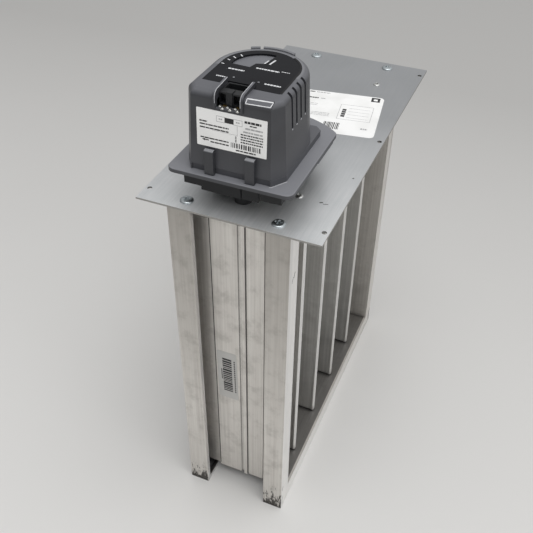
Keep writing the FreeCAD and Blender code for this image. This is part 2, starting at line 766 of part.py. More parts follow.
base_skirt = sketch_on(base, "base_skirt_outline", "XY_Plane", deck_high - S.flange_skirt_drop)
for side in (-1, 1):
    skirt_out = side * (half - S.flange_edge)
    skirt_in = skirt_out - side * S.flange_skirt_wall
    outline(base_skirt, [(skirt_in, drive_y - S.flange_skirt_near), (skirt_out, drive_y - S.flange_skirt_near),
                         (skirt_out, drive_y + S.flange_skirt_far), (skirt_in, drive_y + S.flange_skirt_far)])
pad(base, "base_skirt", base_skirt, S.flange_skirt_drop + S.flange_wall / 2)
idler_distance = (S.output_teeth + S.pinion_teeth) * S.gear_module / 2
idler_x = idler_distance * cosine(S.idler_angle)
idler_y = drive_y + idler_distance * sine(S.idler_angle)
motor_distance = (S.idler_teeth + S.motor_teeth) * S.fine_module / 2
motor_x = idler_x + motor_distance * cosine(S.motor_angle)
motor_y = idler_y + motor_distance * sine(S.motor_angle)
drive_low = cover_floor + S.drive_plate_lift
cover_top = cover_floor + S.cover_height
board_low = cover_top - S.board_drop
inner_half = S.cover_half_width - S.cover_wall
pillar_x = inner_half - S.pillar_radius - S.pillar_side_gap
pillar_spots = [(-pillar_x, drive_y - S.pillar_near), (pillar_x, drive_y - S.pillar_near),
                (-S.pillar_far_across, drive_y + S.pillar_far), (S.pillar_far_across * 1.0, drive_y + S.pillar_far)]
pillars = sketch_on(base, "base_pillar_circles", "XY_Plane", cover_floor - S.flange_wall / 2)
circles(pillars, pillar_spots, S.pillar_radius)
pad(base, "base_pillars", pillars, S.drive_plate_lift + S.flange_wall / 2)
base_holes = sketch_on(base, "base_holes", "XY_Plane")
circles(base_holes, shaft_spots[:1], S.hub_radius + S.hub_fit)
circles(base_holes, [(idler_x, idler_y)], S.axle_radius + S.hole_clearance)
pocket(base, "base_bores", base_holes)
keep("actuator_base", base)


def gear_face(teeth, module, y_centre, x_centre, first_angle, backlash=0.12):
    """An involute gear outline as a face, with its first tooth at the given angle."""
    pressure = math.radians(20.0)
    pitch_radius = teeth * module / 2
    base_radius = pitch_radius * math.cos(pressure)
    outer = pitch_radius + 0.92 * module
    inner = pitch_radius - 1.2 * module
    half_tooth = math.pi / (2 * teeth) - backlash / (2 * pitch_radius)
    involute = math.tan(pressure) - pressure
    points = []
    for tooth in range(int(teeth)):
        middle = math.radians(first_angle) + tooth * 2 * math.pi / teeth
        flank = []
        for step in range(4):
            radius = max(base_radius, inner) + (outer - max(base_radius, inner)) * step / 3
            roll = math.acos(min(base_radius / radius, 1.0))
            flank.append((radius, half_tooth + involute - (math.tan(roll) - roll)))
        side = [(inner, flank[0][1])] + flank
        points += [(radius, middle - swing) for radius, swing in side]
        points += [(radius, middle + swing) for radius, swing in reversed(side)]
    ring = [FreeCAD.Vector(x_centre + radius * math.cos(angle), y_centre + radius * math.sin(angle), 0)
            for radius, angle in points]
    return Part.Face(Part.makePolygon(ring + ring[:1]))


def lifted(face, low, high):
    solid = face.extrude(FreeCAD.Vector(0, 0, float(high - low)))
    solid.translate(FreeCAD.Vector(0, 0, float(low)))
    return solid


def round_bar(x, y, low, high, radius):
    return Part.makeCylinder(float(radius), float(high - low), FreeCAD.Vector(float(x), float(y), float(low)))


def shaped(name, shape):
    made = doc.addObject("Part::Feature", name)
    made.Shape = shape
    return keep(name, made)


# Gear train: motor pinion, stepped idler, and the gear on the output hub
gear_low = cover_floor + S.gear_lift
gear_high = gear_low + S.gear_height
fine_low = gear_high + S.gear_gap
fine_high = fine_low + S.fine_height
inner_top = cover_floor + S.cover_height - S.cover_wall
disc_high = cover_floor + S.cover_height - S.panel_wall - S.disc_gap
disc_low = disc_high - S.disc_wall
hub_y = drive_y
output_face = gear_face(S.output_teeth, float(S.gear_module), float(hub_y), 0.0, float(S.idler_angle))
output = lifted(output_face, gear_low, gear_high)
output = output.fuse(round_bar(0, hub_y, hub_low, hub_high + S.hub_fit, S.hub_radius))
output = output.fuse(round_bar(0, hub_y, hub_high, disc_low, S.stem_radius))
output = output.cut(round_bar(0, hub_y, hub_low - 1.0, hub_high - S.hub_fit, S.shaft_radius + S.shaft_fit))
shaped("output_hub", output.removeSplitter())

pinion_turn = float(S.idler_angle) + 180.0 + 180.0 / S.pinion_teeth
idler = lifted(gear_face(S.pinion_teeth, float(S.gear_module), float(idler_y), float(idler_x), pinion_turn),
               gear_low, fine_low)
idler_web = gear_face(S.idler_teeth, float(S.fine_module), float(idler_y), float(idler_x), float(S.motor_angle))
idler = idler.fuse(lifted(idler_web, fine_low, fine_high))
idler = idler.fuse(round_bar(idler_x, idler_y, fine_high, drive_low - S.running_gap, S.axle_radius * 2))
idler = idler.cut(round_bar(idler_x, idler_y, gear_low - 1.0, drive_low, S.axle_radius + S.pin_fit))
shaped("idler_gear", idler.removeSplitter())
keep("idler_axle", rod("idler_axle", idler_x, idler_y, (deck_high, drive_low + S.drive_plate_wall),
                       S.axle_radius))

motor_turn = float(S.motor_angle) + 180.0 + 180.0 / S.motor_teeth
motor_pinion = lifted(gear_face(S.motor_teeth, float(S.fine_module), float(motor_y), float(motor_x), motor_turn),
                      fine_low - S.gear_gap / 2, fine_high + S.gear_gap)
motor_pinion = motor_pinion.fuse(round_bar(motor_x, motor_y, fine_high, drive_low + S.drive_plate_wall,
                                           S.motor_shaft_radius))
shaped("motor_pinion", motor_pinion.removeSplitter())

# Drive plate on the pillars, with the motor on top
drive_high = drive_low + S.drive_plate_wall
plate_x = pillar_x + S.pillar_radius
slab = block("drive_slab", (-plate_x, plate_x),
             (drive_y - S.drive_plate_near, drive_y + S.drive_plate_far),
             (drive_low, drive_high))
drive_cuts = [rod("drive_stem_hole", 0.0, drive_y, (drive_low - 1.0, drive_high + 1.0),
                  S.hub_radius + S.hub_fit),
              rod("drive_axle_hole", idler_x, idler_y, (drive_low - 1.0, drive_high + 1.0),
                  S.axle_radius + S.hole_clearance),
              rod("drive_motor_hole", motor_x, motor_y, (drive_low - 1.0, drive_high + 1.0),
                  S.motor_shaft_radius * 3)]
keep("gear_plate", less("gear_plate", slab, drive_cuts))
motor_high = board_low - S.motor_board_gap - S.motor_cap_height
can = rod("motor_can", motor_x, motor_y, (drive_high, motor_high), S.motor_radius)
motor_cap = rod("motor_cap", motor_x, motor_y, (motor_high, motor_high + S.motor_cap_height),
                S.motor_cap_radius * 1.0)
motor_bore = rod("motor_bore", motor_x, motor_y, (drive_high - 1.0, drive_high + S.motor_bore_depth),
                 S.motor_shaft_radius * 1.5)
keep("motor", less("motor", joined("motor_solid", [can, motor_cap]), [motor_bore]))

# Circuit board on the motor, and the terminal block that rises into the notch
board_high = board_low + S.board_wall
board_x = inner_half - S.board_side_gap
board = block("board_slab", (-board_x, board_x), (drive_y - S.board_near, drive_y - S.board_far),
              (board_low, board_high))
stand = [rod(f"board_stand_{side}", side * (board_x - S.stand_inset), drive_y - S.stand_near,
             (drive_high, board_low), S.pillar_radius * 1.0) for side in (-1, 1)]
keep("circuit_board", joined("circuit_board", [board] + stand))
notch_floor = cover_top - S.notch_depth
wall_y = drive_y - S.cover_near
terminal_x = (S.notch_left + S.terminal_gap, S.notch_right - S.terminal_gap)
terminal_near = wall_y + S.terminal_setback
terminal_far = wall_y + S.notch_length - S.terminal_gap
terminal_top = cover_top - S.terminal_drop
width = S.notch_right - S.notch_left
blocks = [block("terminal_body", terminal_x, (terminal_near, terminal_far), (board_high, terminal_top)),
          block("terminal_rib", (S.notch_left + 0.30 * width, S.notch_left + 0.55 * width),
                (terminal_near - S.rib_proud, terminal_near + S.port_depth), (board_high, terminal_top + S.rib_proud))]
cavities = []
for number, (start, stop) in enumerate(((0.04, 0.30), (0.585, 0.865))):
    cavities.append(block(f"terminal_port_{number}", (S.notch_left + start * width, S.notch_left + stop * width),
                          (terminal_near - 1.0, terminal_near + S.port_depth),
                          (notch_floor + S.port_floor, terminal_top - S.port_roof)))
recess_far = terminal_far - S.recess_back
cavities.append(block("terminal_recess", (terminal_x[0] + S.recess_side, terminal_x[1] - S.recess_side),
                      (recess_far - S.recess_length, recess_far),
                      (terminal_top - S.recess_depth, terminal_top + 2.0)))
keep("terminal_block", less("terminal_block", joined("terminal_solid", blocks), cavities))
sill_screws = []
for number in range(6):
    spot_x = S.notch_left + (0.10 + 0.155 * number) * width
    spot_y = wall_y + S.shelf_depth - S.terminal_screw_radius * (2.6 if number % 2 else 1.1)
    sill_screws.append(rod(f"terminal_screw_{number}", spot_x, spot_y,
                           (notch_floor, notch_floor + S.terminal_screw_height), S.terminal_screw_radius * 1.0))
keep("terminal_screws", group("terminal_screws", sill_screws))


def cover_corners(inset, far):
    """The cover's outline: chamfered near corners, then a round or a square far end."""
    side = S.cover_half_width - inset
    near = drive_y - S.cover_near + inset
    across = S.cover_corner_x - 0.4 * inset
    along = S.cover_corner_y - 0.4 * inset
    right = [(side - across, near), (side, near + along)]
    left = [(-side, near + along), (across - side, near)]
    if far is None:
        axis = drive_y - S.cover_round_centre
        return right + [(side, axis, side), (0.0, axis + side, side), (-side, axis)] + left
    back = drive_y + far
    cut = S.ledge_corner
    return right + [(side, back - cut), (side - cut, back), (cut - side, back), (-side, back - cut)] + left


# Cover: a D-shaped moulding, round at the far end, hollowed to an even wall
cover = new_body("actuator_cover")
cover_sketch = sketch_on(cover, "cover_outline", "XY_Plane", cover_floor)
outline(cover_sketch, cover_corners(0.0, None))
cover_pad = pad(cover, "cover_form", cover_sketch, S.cover_height)
bind(cover_pad, "TaperAngle", -S.cover_draft)
doc.recompute()
shoulder = fillet(cover, "cover_shoulder", cover_pad, S.cover_round,
                  lambda edge: all(abs(v.Point.z - cover_top) < 0.01 for v in edge.Vertexes))
ledge_sketch = sketch_on(cover, "ledge_outline", "XY_Plane", cover_floor)
outline(ledge_sketch, cover_corners(0.0, S.ledge_far))
pad(cover, "cover_ledge", ledge_sketch, S.ledge_height)
cavity = new_body("cover_cavity")
cavity_sketch = sketch_on(cavity, "cavity_outline", "XY_Plane", cover_floor)
outline(cavity_sketch, cover_corners(S.cover_wall, None))
cavity_pad = pad(cavity, "cavity_form", cavity_sketch, S.cover_height - S.cover_wall)
bind(cavity_pad, "TaperAngle", -S.cover_draft)
doc.recompute()
fillet(cavity, "cavity_shoulder", cavity_pad, S.cover_round - S.cover_wall,
       lambda edge: all(abs(v.Point.z - inner_top) < 0.01 for v in edge.Vertexes))
hollowed = cover.newObject("PartDesign::Boolean", "cover_hollow")
hollowed.setObjects([cavity])
hollowed.Type = "Cut"
doc.recompute()

# Skirt: the foot of the near face stands back a little
skirt_sketch = sketch_on(cover, "skirt_outline", "XY_Plane", cover_floor)
skirt_x = S.cover_half_width - S.cover_corner_x - S.skirt_depth
outline(skirt_sketch, [(-skirt_x, wall_y - 1.0), (skirt_x, wall_y - 1.0),
                       (skirt_x, wall_y + S.skirt_depth), (-skirt_x, wall_y + S.skirt_depth)])
pocket(cover, "cover_skirt", skirt_sketch, S.ledge_height, upward=True)

# Cheeks: thin walls that stand up on both sides of the terminal notch
cheek_y = wall_y + S.cheek_inset
cheek_top = cover_top + S.cheek_rise
bend = S.cheek_round
crest = wall_y + S.notch_length
crest_top = cheek_top + S.cheek_slope
inside = cheek_y + S.cover_wall
for name, low_x, high_x in (("left", S.notch_left - S.cheek_wall, S.notch_left * 1.0),
                            ("right", S.notch_right * 1.0, S.notch_right + S.cheek_wall)):
    cheek_sketch = sketch_on(cover, f"cheek_{name}_outline", "YZ_Plane", low_x)
    outline(cheek_sketch, [(inside, notch_floor), (inside, cover_top - S.cover_round),
                           (crest, cover_top - S.cover_wall / 2), (crest, crest_top - 1.0),
                           (crest - 1.0, crest_top), (cheek_y + bend, cheek_top, bend),
                           (cheek_y, cheek_top - bend), (cheek_y, notch_floor)])
    pad(cover, f"cheek_{name}", cheek_sketch, high_x - low_x)

# Shelf behind the near wall that carries the terminal screws
shelf_sketch = sketch_on(cover, "shelf_outline", "XY_Plane", notch_floor - S.shelf_wall)
outline(shelf_sketch, [(S.notch_left * 1.0, wall_y + S.cover_wall * 1.6), (S.notch_right * 1.0, wall_y + S.cover_wall * 1.6),
                       (S.notch_right * 1.0, wall_y + S.shelf_depth), (S.notch_left * 1.0, wall_y + S.shelf_depth)])
pad(cover, "terminal_shelf", shelf_sketch, S.shelf_wall)

# Raised field on the right of the near shoulder
raised_sketch = sketch_on(cover, "raised_outline", "YZ_Plane", S.raised_left)
outline(raised_sketch, [(wall_y + 8.0, cover_top + 0.6), (wall_y + 2.2, cover_top - 2.6),
                        (wall_y + 2.2, cover_top - 4.6), (wall_y + 8.4, cover_top - 1.0)])
pad(cover, "raised_field", raised_sketch, S.raised_right - S.raised_left)

# Two tabs on the far rim of the shoulder, each a slice of a ring
tab_sketch = sketch_on(cover, "rim_tab_outline", "XY_Plane", cover_top - S.rim_tab_depth)
round_y = drive_y - S.cover_round_centre
for start, stop in ((64.0, 108.0), (112.0, 124.0)):
    corners = [(radius * cosine(turn), round_y + radius * sine(turn))
               for radius, turn in ((S.rim_tab_inner, start), (S.rim_tab_outer, start),
                                    (S.rim_tab_outer, stop), (S.rim_tab_inner, stop))]
    outline(tab_sketch, [corners[0], (*corners[1], S.rim_tab_outer * 1.0), corners[2],
                         (*corners[3], -S.rim_tab_inner)])
pad(cover, "rim_tabs", tab_sketch, S.rim_tab_depth + S.rim_tab_rise)

notch_sketch = sketch_on(cover, "notch_outline", "XY_Plane", notch_floor)
outline(notch_sketch, [(S.notch_left * 1.0, wall_y - 2.0), (S.notch_right * 1.0, wall_y - 2.0),
                       (S.notch_right * 1.0, wall_y + S.notch_length), (S.notch_left * 1.0, wall_y + S.notch_length)])
pocket(cover, "terminal_notch", notch_sketch, S.cover_height, upward=True)

panel_half = S.panel_radius + S.panel_fit
seat_near = drive_y - S.panel_near - S.panel_fit
seat_sketch = sketch_on(cover, "panel_seat_outline", "XY_Plane", cover_top)
outline(seat_sketch, [(-panel_half, seat_near), (panel_half, seat_near),
                      (panel_half, round_y, panel_half), (0.0, round_y + panel_half, panel_half),
                      (-panel_half, round_y)])
pocket(cover, "panel_seat", seat_sketch, S.panel_wall)
dial_sketch = sketch_on(cover, "dial_opening_outline", "XY_Plane", cover_top + 1.0)
circles(dial_sketch, shaft_spots[:1], S.disc_radius + S.disc_gap)
pocket(cover, "dial_opening", dial_sketch, S.cover_wall + 2.0)

# Vents: slots that climb the right side and wrap over the shoulder
vent_sketch = sketch_on(cover, "vent_outline", "YZ_Plane", S.cover_half_width - S.vent_depth)
vent_low = cover_floor + S.vent_sill
for number in range(4):
    vent_y = drive_y - S.vent_first + number * S.vent_pitch
    outline(vent_sketch, [(vent_y - S.vent_width / 2, vent_low), (vent_y + S.vent_width / 2, vent_low),
                          (vent_y + S.vent_width / 2, cover_top + 1.0), (vent_y - S.vent_width / 2, cover_top + 1.0)])
pocket(cover, "vents", vent_sketch, S.vent_depth + 2.0, upward=True)
keep("actuator_cover", cover)

# Panel: a thin black D with a sector window over the disc
panel = new_body("top_panel")
panel_sketch = sketch_on(panel, "panel_outline", "XY_Plane", cover_top - S.panel_wall)
axis_y = drive_y
notch_y = wall_y + S.notch_length + 0.3
left_x = S.notch_left - S.cheek_wall - S.panel_fit
right_x = S.notch_right + S.cheek_wall + S.panel_fit
outline(panel_sketch, [(-S.panel_radius, axis_y - S.panel_near), (left_x, axis_y - S.panel_near),
                       (left_x, notch_y), (right_x, notch_y), (right_x, axis_y - S.panel_near),
                       (S.panel_radius * 1.0, axis_y - S.panel_near),
                       (S.panel_radius * 1.0, round_y, S.panel_radius * 1.0),
                       (0.0, round_y + S.panel_radius, S.panel_radius * 1.0), (-S.panel_radius, round_y)])
pad(panel, "panel_sheet", panel_sketch, S.panel_wall)
window_sketch = sketch_on(panel, "window_outline", "XY_Plane", cover_top)
ring = S.window_radius
outline(window_sketch, [(0.185 * ring, axis_y + 0.9827 * ring, ring * 1.0), (-0.985 * ring, axis_y - 0.17 * ring),
                        (-0.30 * ring, axis_y - 0.20 * ring), (-0.22 * ring, axis_y + 0.13 * ring),
                        (0.075 * ring, axis_y + 0.24 * ring)])
pocket(panel, "panel_window", window_sketch, S.panel_wall)
keep("top_panel", panel)

# Indicator disc on the hub's stem
disc = rod("disc_sheet", 0.0, axis_y, (disc_low, disc_high), S.disc_radius)
keep("indicator_disc", disc)

# Latches: two clips that rise from the flange and hook the near face of the cover
latches = []
for number, centre in enumerate((S.latch_left, S.latch_right)):
    clip = block(f"latch_{number}_clip", (centre - S.latch_width / 2, centre + S.latch_width / 2),
                 (wall_y - S.latch_wall, wall_y * 1.0), (cover_floor, cover_floor + S.latch_height))
    latch = doc.addObject("Part::Fillet", f"latch_{number}")
    latch.Base = clip
    doc.recompute()
    crown = edges_where(clip.Shape, lambda edge: all(abs(v.Point.z - cover_floor - S.latch_height) < 0.01
                                                     and abs(v.Point.y - wall_y + S.latch_wall) < 0.01
                                                     for v in edge.Vertexes))
    latch.Edges = [(int(edge[4:]), float(S.latch_round), float(S.latch_round)) for edge in crown]
    latches.append(latch)
keep("cover_latches", group("cover_latches", latches))

doc.recompute()
broken = [item.Label for item in doc.Objects if {"Invalid", "Error"} & set(item.State)]
if broken:
    raise ValueError(f"these did not compute: {broken}")
for piece in pieces:
    if piece.Shape.isNull() or not piece.Shape.isValid() or piece.Shape.Volume <= 0:
        raise ValueError(f"{piece.Label} has no sound shape")
    if piece.TypeId != "Part::Compound" and len(piece.Shape.Solids) != 1:
        raise ValueError(f"{piece.Label} is not one solid")

os.makedirs("parts", exist_ok=True)
for piece in pieces:
    piece.Shape.exportStep(f"parts/{piece.Label}.step")
print(len(pieces), "sub-parts written")
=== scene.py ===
import math

import bmesh
import bpy
import numpy as np
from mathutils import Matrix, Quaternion, Vector


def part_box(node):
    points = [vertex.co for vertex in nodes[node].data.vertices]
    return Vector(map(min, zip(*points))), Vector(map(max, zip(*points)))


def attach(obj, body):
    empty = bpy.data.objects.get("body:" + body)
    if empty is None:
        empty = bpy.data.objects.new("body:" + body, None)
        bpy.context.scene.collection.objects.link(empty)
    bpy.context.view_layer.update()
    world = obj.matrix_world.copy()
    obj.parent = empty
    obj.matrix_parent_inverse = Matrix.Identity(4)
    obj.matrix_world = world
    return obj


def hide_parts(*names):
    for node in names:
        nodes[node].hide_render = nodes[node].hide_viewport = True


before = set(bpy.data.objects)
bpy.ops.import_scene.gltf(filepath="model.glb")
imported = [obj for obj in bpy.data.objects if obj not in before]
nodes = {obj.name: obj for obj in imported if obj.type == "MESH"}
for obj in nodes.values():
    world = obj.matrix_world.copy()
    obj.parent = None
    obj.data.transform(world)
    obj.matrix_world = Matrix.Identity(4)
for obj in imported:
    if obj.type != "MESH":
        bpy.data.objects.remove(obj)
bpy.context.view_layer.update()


# Frame members: four mitred lengths of one lipped channel, extruded aluminium left in its
# mill finish. The die draws fine lines along each length, handling leaves grey smears and the
# lips' feet are scuffed dark. Painted shade darkens the lips' tops, the closed corners and the
# inside of the airway, and the faces to the right carry a painted highlight.
def linear(code):
    """An sRGB hex code as linear RGBA: c / 12.92 up to 0.04045, else ((c + 0.055) / 1.055) ^ 2.4."""
    part = np.array([int(code[start:start + 2], 16) for start in (1, 3, 5)]) / 255
    made = np.where(part <= 0.04045, part / 12.92, ((part + 0.055) / 1.055) ** 2.4)
    return (*made.tolist(), 1.0)


def add(tree, kind, sockets=None, **settings):
    """Add one node. Settings are its properties. A socket takes a value, or the output that feeds it."""
    made = tree.nodes.new(kind)
    for name, value in settings.items():
        setattr(made, name, value)
    for name, value in (sockets or {}).items():
        if isinstance(value, bpy.types.NodeSocket):
            tree.links.new(value, made.inputs[name])
        else:
            made.inputs[name].default_value = value
    return made


def blank(name, **even):
    """A new material, its node tree and its shader. Values that are even all over are set on the shader."""
    made = bpy.data.materials.new(name)
    made.use_nodes = True
    shader = made.node_tree.nodes["Principled BSDF"]
    for socket, value in even.items():
        shader.inputs[socket.replace("_", " ")].default_value = value
    return made, made.node_tree, shader


def dress(material, *names):
    """Give the named CAD nodes one material."""
    for name in names:
        nodes[name].data.materials.clear()
        nodes[name].data.materials.append(material)


def mill_aluminium(name, along, pale, grey, smear_share, foot_dirt=0.0, airway_shade=0.0):
    """Extruded aluminium. Die lines are noise drawn out along the member, 2 mm apart, which is coarser than
    real, so that they show. Smears are broad noise. The lips, which start 147 mm from the middle, are painted
    darker higher up, as shade under the plate. At their feet they are scuffed where upright noise plus a
    share that falls with height passes a limit. Painted shade darkens the inside of the airway and what
    ambient occlusion finds closed, and faces to the right carry a painted highlight, less so far from the
    camera."""
    made, tree, shader = blank(name, Metallic=0.9)
    place = add(tree, "ShaderNodeTexCoord").outputs["Object"]
    drawn = add(tree, "ShaderNodeMapping", {"Vector": place, "Scale": along}).outputs[0]
    lines = add(tree, "ShaderNodeTexNoise", {"Vector": drawn, "Scale": 1.0, "Detail": 5.0,
                                             "Roughness": 0.65}).outputs[0]
    smears = add(tree, "ShaderNodeTexNoise", {"Vector": place, "Scale": 60.0, "Detail": 7.0,
                                              "Roughness": 0.68}).outputs[0]
    smear = add(tree, "ShaderNodeMapRange", {"Value": smears, "From Min": 0.5, "From Max": 0.72,
                                             "To Max": smear_share}).outputs[0]
    line = add(tree, "ShaderNodeMapRange", {"Value": lines, "From Min": 0.35, "From Max": 0.7}).outputs[0]
    base = add(tree, "ShaderNodeMix", {0: line, 6: linear(pale), 7: linear(grey)}, data_type="RGBA")
    smeared = add(tree, "ShaderNodeMix", {0: smear, 6: base.outputs[2], 7: linear("#77736d")},
                  data_type="RGBA")
    spot = add(tree, "ShaderNodeSeparateXYZ", {"Vector": place})
    height = spot.outputs["Z"]
    outward = add(tree, "ShaderNodeMath", {0: spot.outputs["Y"]}, operation="ABSOLUTE").outputs[0]
    lips = add(tree, "ShaderNodeMapRange", {"Value": outward, "From Min": 0.147, "From Max": 0.149,
                                            "To Max": 0.5}).outputs[0]
    # Painted shade: the lips are darker higher up, as shade under the plate.
    handled = add(tree, "ShaderNodeMapRange", {"Value": height, "From Min": 0.12, "From Max": 0.34,
                                               "To Max": lips}).outputs[0]
    top_shaded = add(tree, "ShaderNodeMix", {0: handled, 6: smeared.outputs[2], 7: linear("#7d7871")},
                data_type="RGBA")
    upright = add(tree, "ShaderNodeMapping", {"Vector": place, "Scale": (420, 420, 110)}).outputs[0]
    dirt = add(tree, "ShaderNodeTexNoise", {"Vector": upright, "Scale": 1.0, "Detail": 3.0, "Roughness": 0.7})
    foot = add(tree, "ShaderNodeMapRange", {"Value": height, "From Min": 0.0, "From Max": 0.06,
                                            "To Min": foot_dirt, "To Max": -0.2}).outputs[0]
    raised = add(tree, "ShaderNodeMath", {0: dirt.outputs[0], 1: foot}, operation="ADD").outputs[0]
    trodden = add(tree, "ShaderNodeMath", {0: lips, 1: 1.8}, operation="MULTIPLY").outputs[0]
    patch = add(tree, "ShaderNodeMapRange", {"Value": raised, "From Min": 0.66, "From Max": 0.74,
                                             "To Max": trodden}).outputs[0]
    footed = add(tree, "ShaderNodeMix", {0: patch, 6: top_shaded.outputs[2], 7: linear("#2a2724")},
                 data_type="RGBA")
    # Painted shade: inside the airway the colour is darkened, for shade and the dim reflection of the dark
    # interior.
    inward = add(tree, "ShaderNodeMath", {0: spot.outputs["X"]}, operation="ABSOLUTE").outputs[0]
    airway_shade_share = add(tree, "ShaderNodeMapRange", {"Value": inward, "From Min": 0.0490, "From Max": 0.0485,
                                              "To Max": airway_shade}).outputs[0]
    with_painted_shading = add(tree, "ShaderNodeMix", {0: airway_shade_share, 6: footed.outputs[2], 7: linear("#4b4a49")},
                 data_type="RGBA")
    # Painted shade: where ambient occlusion within 12 mm finds the surface closed, the colour is darkened.
    open_share = add(tree, "ShaderNodeAmbientOcclusion", {"Distance": 0.012}, samples=8).outputs["AO"]
    occlusion_shade = add(tree, "ShaderNodeMapRange", {"Value": open_share, "From Min": 0.74, "From Max": 0.25,
                                              "To Max": 0.9}).outputs[0]
    corner_shaded = add(tree, "ShaderNodeMix", {0: occlusion_shade, 6: with_painted_shading.outputs[2], 7: linear("#2b2a29")},
                data_type="RGBA")
    # Painted highlight: faces to the right are mixed towards white, more strongly near the camera.
    normal = add(tree, "ShaderNodeTexCoord").outputs["Normal"]
    rightward = add(tree, "ShaderNodeSeparateXYZ", {"Vector": normal}).outputs["X"]
    highlight_reach = add(tree, "ShaderNodeMapRange", {"Value": spot.outputs["Y"], "From Min": -0.1, "From Max": 0.15,
                                            "To Min": 0.6, "To Max": 0.1}).outputs[0]
    rubbed = add(tree, "ShaderNodeMapRange", {"Value": rightward, "From Min": 0.5, "From Max": 0.9,
                                              "To Max": highlight_reach}).outputs[0]
    colour = add(tree, "ShaderNodeMix", {0: rubbed, 6: corner_shaded.outputs[2], 7: linear("#ffffff")},
                 data_type="RGBA")
    dull = add(tree, "ShaderNodeMapRange", {"Value": smears, "From Min": 0.3, "From Max": 0.7, "To Min": 0.36,
                                            "To Max": 0.55}).outputs[0]
    relief = add(tree, "ShaderNodeBump", {"Height": lines, "Strength": 0.12, "Distance": 0.0005}).outputs[0]
    tree.links.new(colour.outputs[2], shader.inputs["Base Color"])
    tree.links.new(dull, shader.inputs["Roughness"])
    tree.links.new(relief, shader.inputs["Normal"])
    return made


upright_mill = mill_aluminium("mill_aluminium_drawn_upright", (420, 420, 7), "#e0ddd8", "#cdc9c4", 0.25,
                              foot_dirt=0.3)
level_mill = mill_aluminium("mill_aluminium_drawn_level", (420, 7, 420), "#e0ddd8", "#cdc9c4", 0.25,
                            airway_shade=0.75)
dress(upright_mill, "frame_near", "frame_far")
dress(level_mill, "frame_bottom", "frame_top")

# Corner keys: bent strips of galvanised steel, pressed in behind the lips of two members.
# Hot zinc gives them a faint mottle of crystals.
galvanised, tree, shader = blank("galvanised_steel_strip", Metallic=1.0, Roughness=0.45)
place = add(tree, "ShaderNodeTexCoord").outputs["Object"]
crystals = add(tree, "ShaderNodeTexVoronoi", {"Vector": place, "Scale": 160.0}).outputs["Color"]
tone = add(tree, "ShaderNodeSeparateColor", {"Color": crystals}).outputs[0]
spangle = add(tree, "ShaderNodeMix", {0: tone, 6: linear("#8f9193"), 7: linear("#b4b6b7")}, data_type="RGBA")
tree.links.new(spangle.outputs[2], shader.inputs["Base Color"])
dress(galvanised, "corner_keys")

# Blades: thin hollow aluminium extrusions, smoother than the frame and shielded from
# handling, so they carry die lines and only a few faint smears.
blade_mill = mill_aluminium("mill_aluminium_blade", (420, 420, 5), "#d6d5d2", "#bfbebb", 0.15)
dress(blade_mill, "blade_1", "blade_2", "blade_3", "blade_4", "stop_near", "stop_far")

# Shafts and pins: drawn round steel bar, cut to length and ground bright, a press fit in the
# blades' centre tubes. Fine rings from the grinding run round it.
ground_steel, tree, shader = blank("ground_steel_bar", Metallic=1.0)
place = add(tree, "ShaderNodeTexCoord").outputs["Object"]
drawn = add(tree, "ShaderNodeMapping", {"Vector": place, "Scale": (60, 60, 900)}).outputs[0]
rings = add(tree, "ShaderNodeTexNoise", {"Vector": drawn, "Scale": 1.0, "Detail": 3.0}).outputs[0]
tint = add(tree, "ShaderNodeMix", {0: rings, 6: linear("#8a8a89"), 7: linear("#c6c6c4")}, data_type="RGBA")
gloss = add(tree, "ShaderNodeMapRange", {"Value": rings, "To Min": 0.22, "To Max": 0.36})
tree.links.new(tint.outputs[2], shader.inputs["Base Color"])
tree.links.new(gloss.outputs[0], shader.inputs["Roughness"])
dress(ground_steel, "drive_shaft", "stub_shaft_2", "stub_shaft_3", "stub_shaft_4", "lower_pin_1",
      "lower_pin_2", "lower_pin_3", "lower_pin_4", "idler_axle")


# Bushes: moulded nylon, dyed black, pushed into the webs. The mould's sparked face leaves
# an even fine grain and a dull sheen.
def moulded(name, code, lighter, roughness, top_light=None):
    """Moulded plastic. Broad noise shifts the colour a little. Fine noise is the sparked grain, drawn at
    about 0.7 mm so that it shows, and the highest grains are rubbed lighter. Where a top light colour is
    given, faces take it as their normal's z goes from 0.2 to 0.85, as painted light on faces that look up."""
    made, tree, shader = blank(name, Roughness=roughness)
    place = add(tree, "ShaderNodeTexCoord").outputs["Object"]
    broad = add(tree, "ShaderNodeTexNoise", {"Vector": place, "Scale": 35.0, "Detail": 4.0}).outputs[0]
    fine = add(tree, "ShaderNodeTexNoise", {"Vector": place, "Scale": 1500.0, "Detail": 2.0}).outputs[0]
    shift = add(tree, "ShaderNodeMapRange", {"Value": broad, "From Min": 0.35, "From Max": 0.75}).outputs[0]
    even = add(tree, "ShaderNodeMix", {0: shift, 6: linear(code), 7: linear(lighter)}, data_type="RGBA")
    high = add(tree, "ShaderNodeMapRange", {"Value": fine, "From Min": 0.6, "From Max": 0.85, "To Max": 0.35})
    colour = add(tree, "ShaderNodeMix", {0: high.outputs[0], 6: even.outputs[2], 7: linear(lighter)},
                 data_type="RGBA").outputs[2]
    relief = add(tree, "ShaderNodeBump", {"Height": fine, "Strength": 0.35, "Distance": 0.00008}).outputs[0]
    # Painted light: faces that look up are mixed towards the top light colour.
    if top_light:
        normal = add(tree, "ShaderNodeTexCoord").outputs["Normal"]
        upward = add(tree, "ShaderNodeSeparateXYZ", {"Vector": normal}).outputs["Z"]
        lit_from_above = add(tree, "ShaderNodeMapRange", {"Value": upward, "From Min": 0.2, "From Max": 0.85})
        colour = add(tree, "ShaderNodeMix", {0: lit_from_above.outputs[0], 6: colour, 7: linear(top_light)},
                     data_type="RGBA").outputs[2]
    tree.links.new(colour, shader.inputs["Base Color"])
    tree.links.new(relief, shader.inputs["Normal"])
    return made


dress(moulded("black_nylon_moulding", "#1d1d1f", "#2b2b2d", 0.5), "upper_bushes", "lower_bushes")

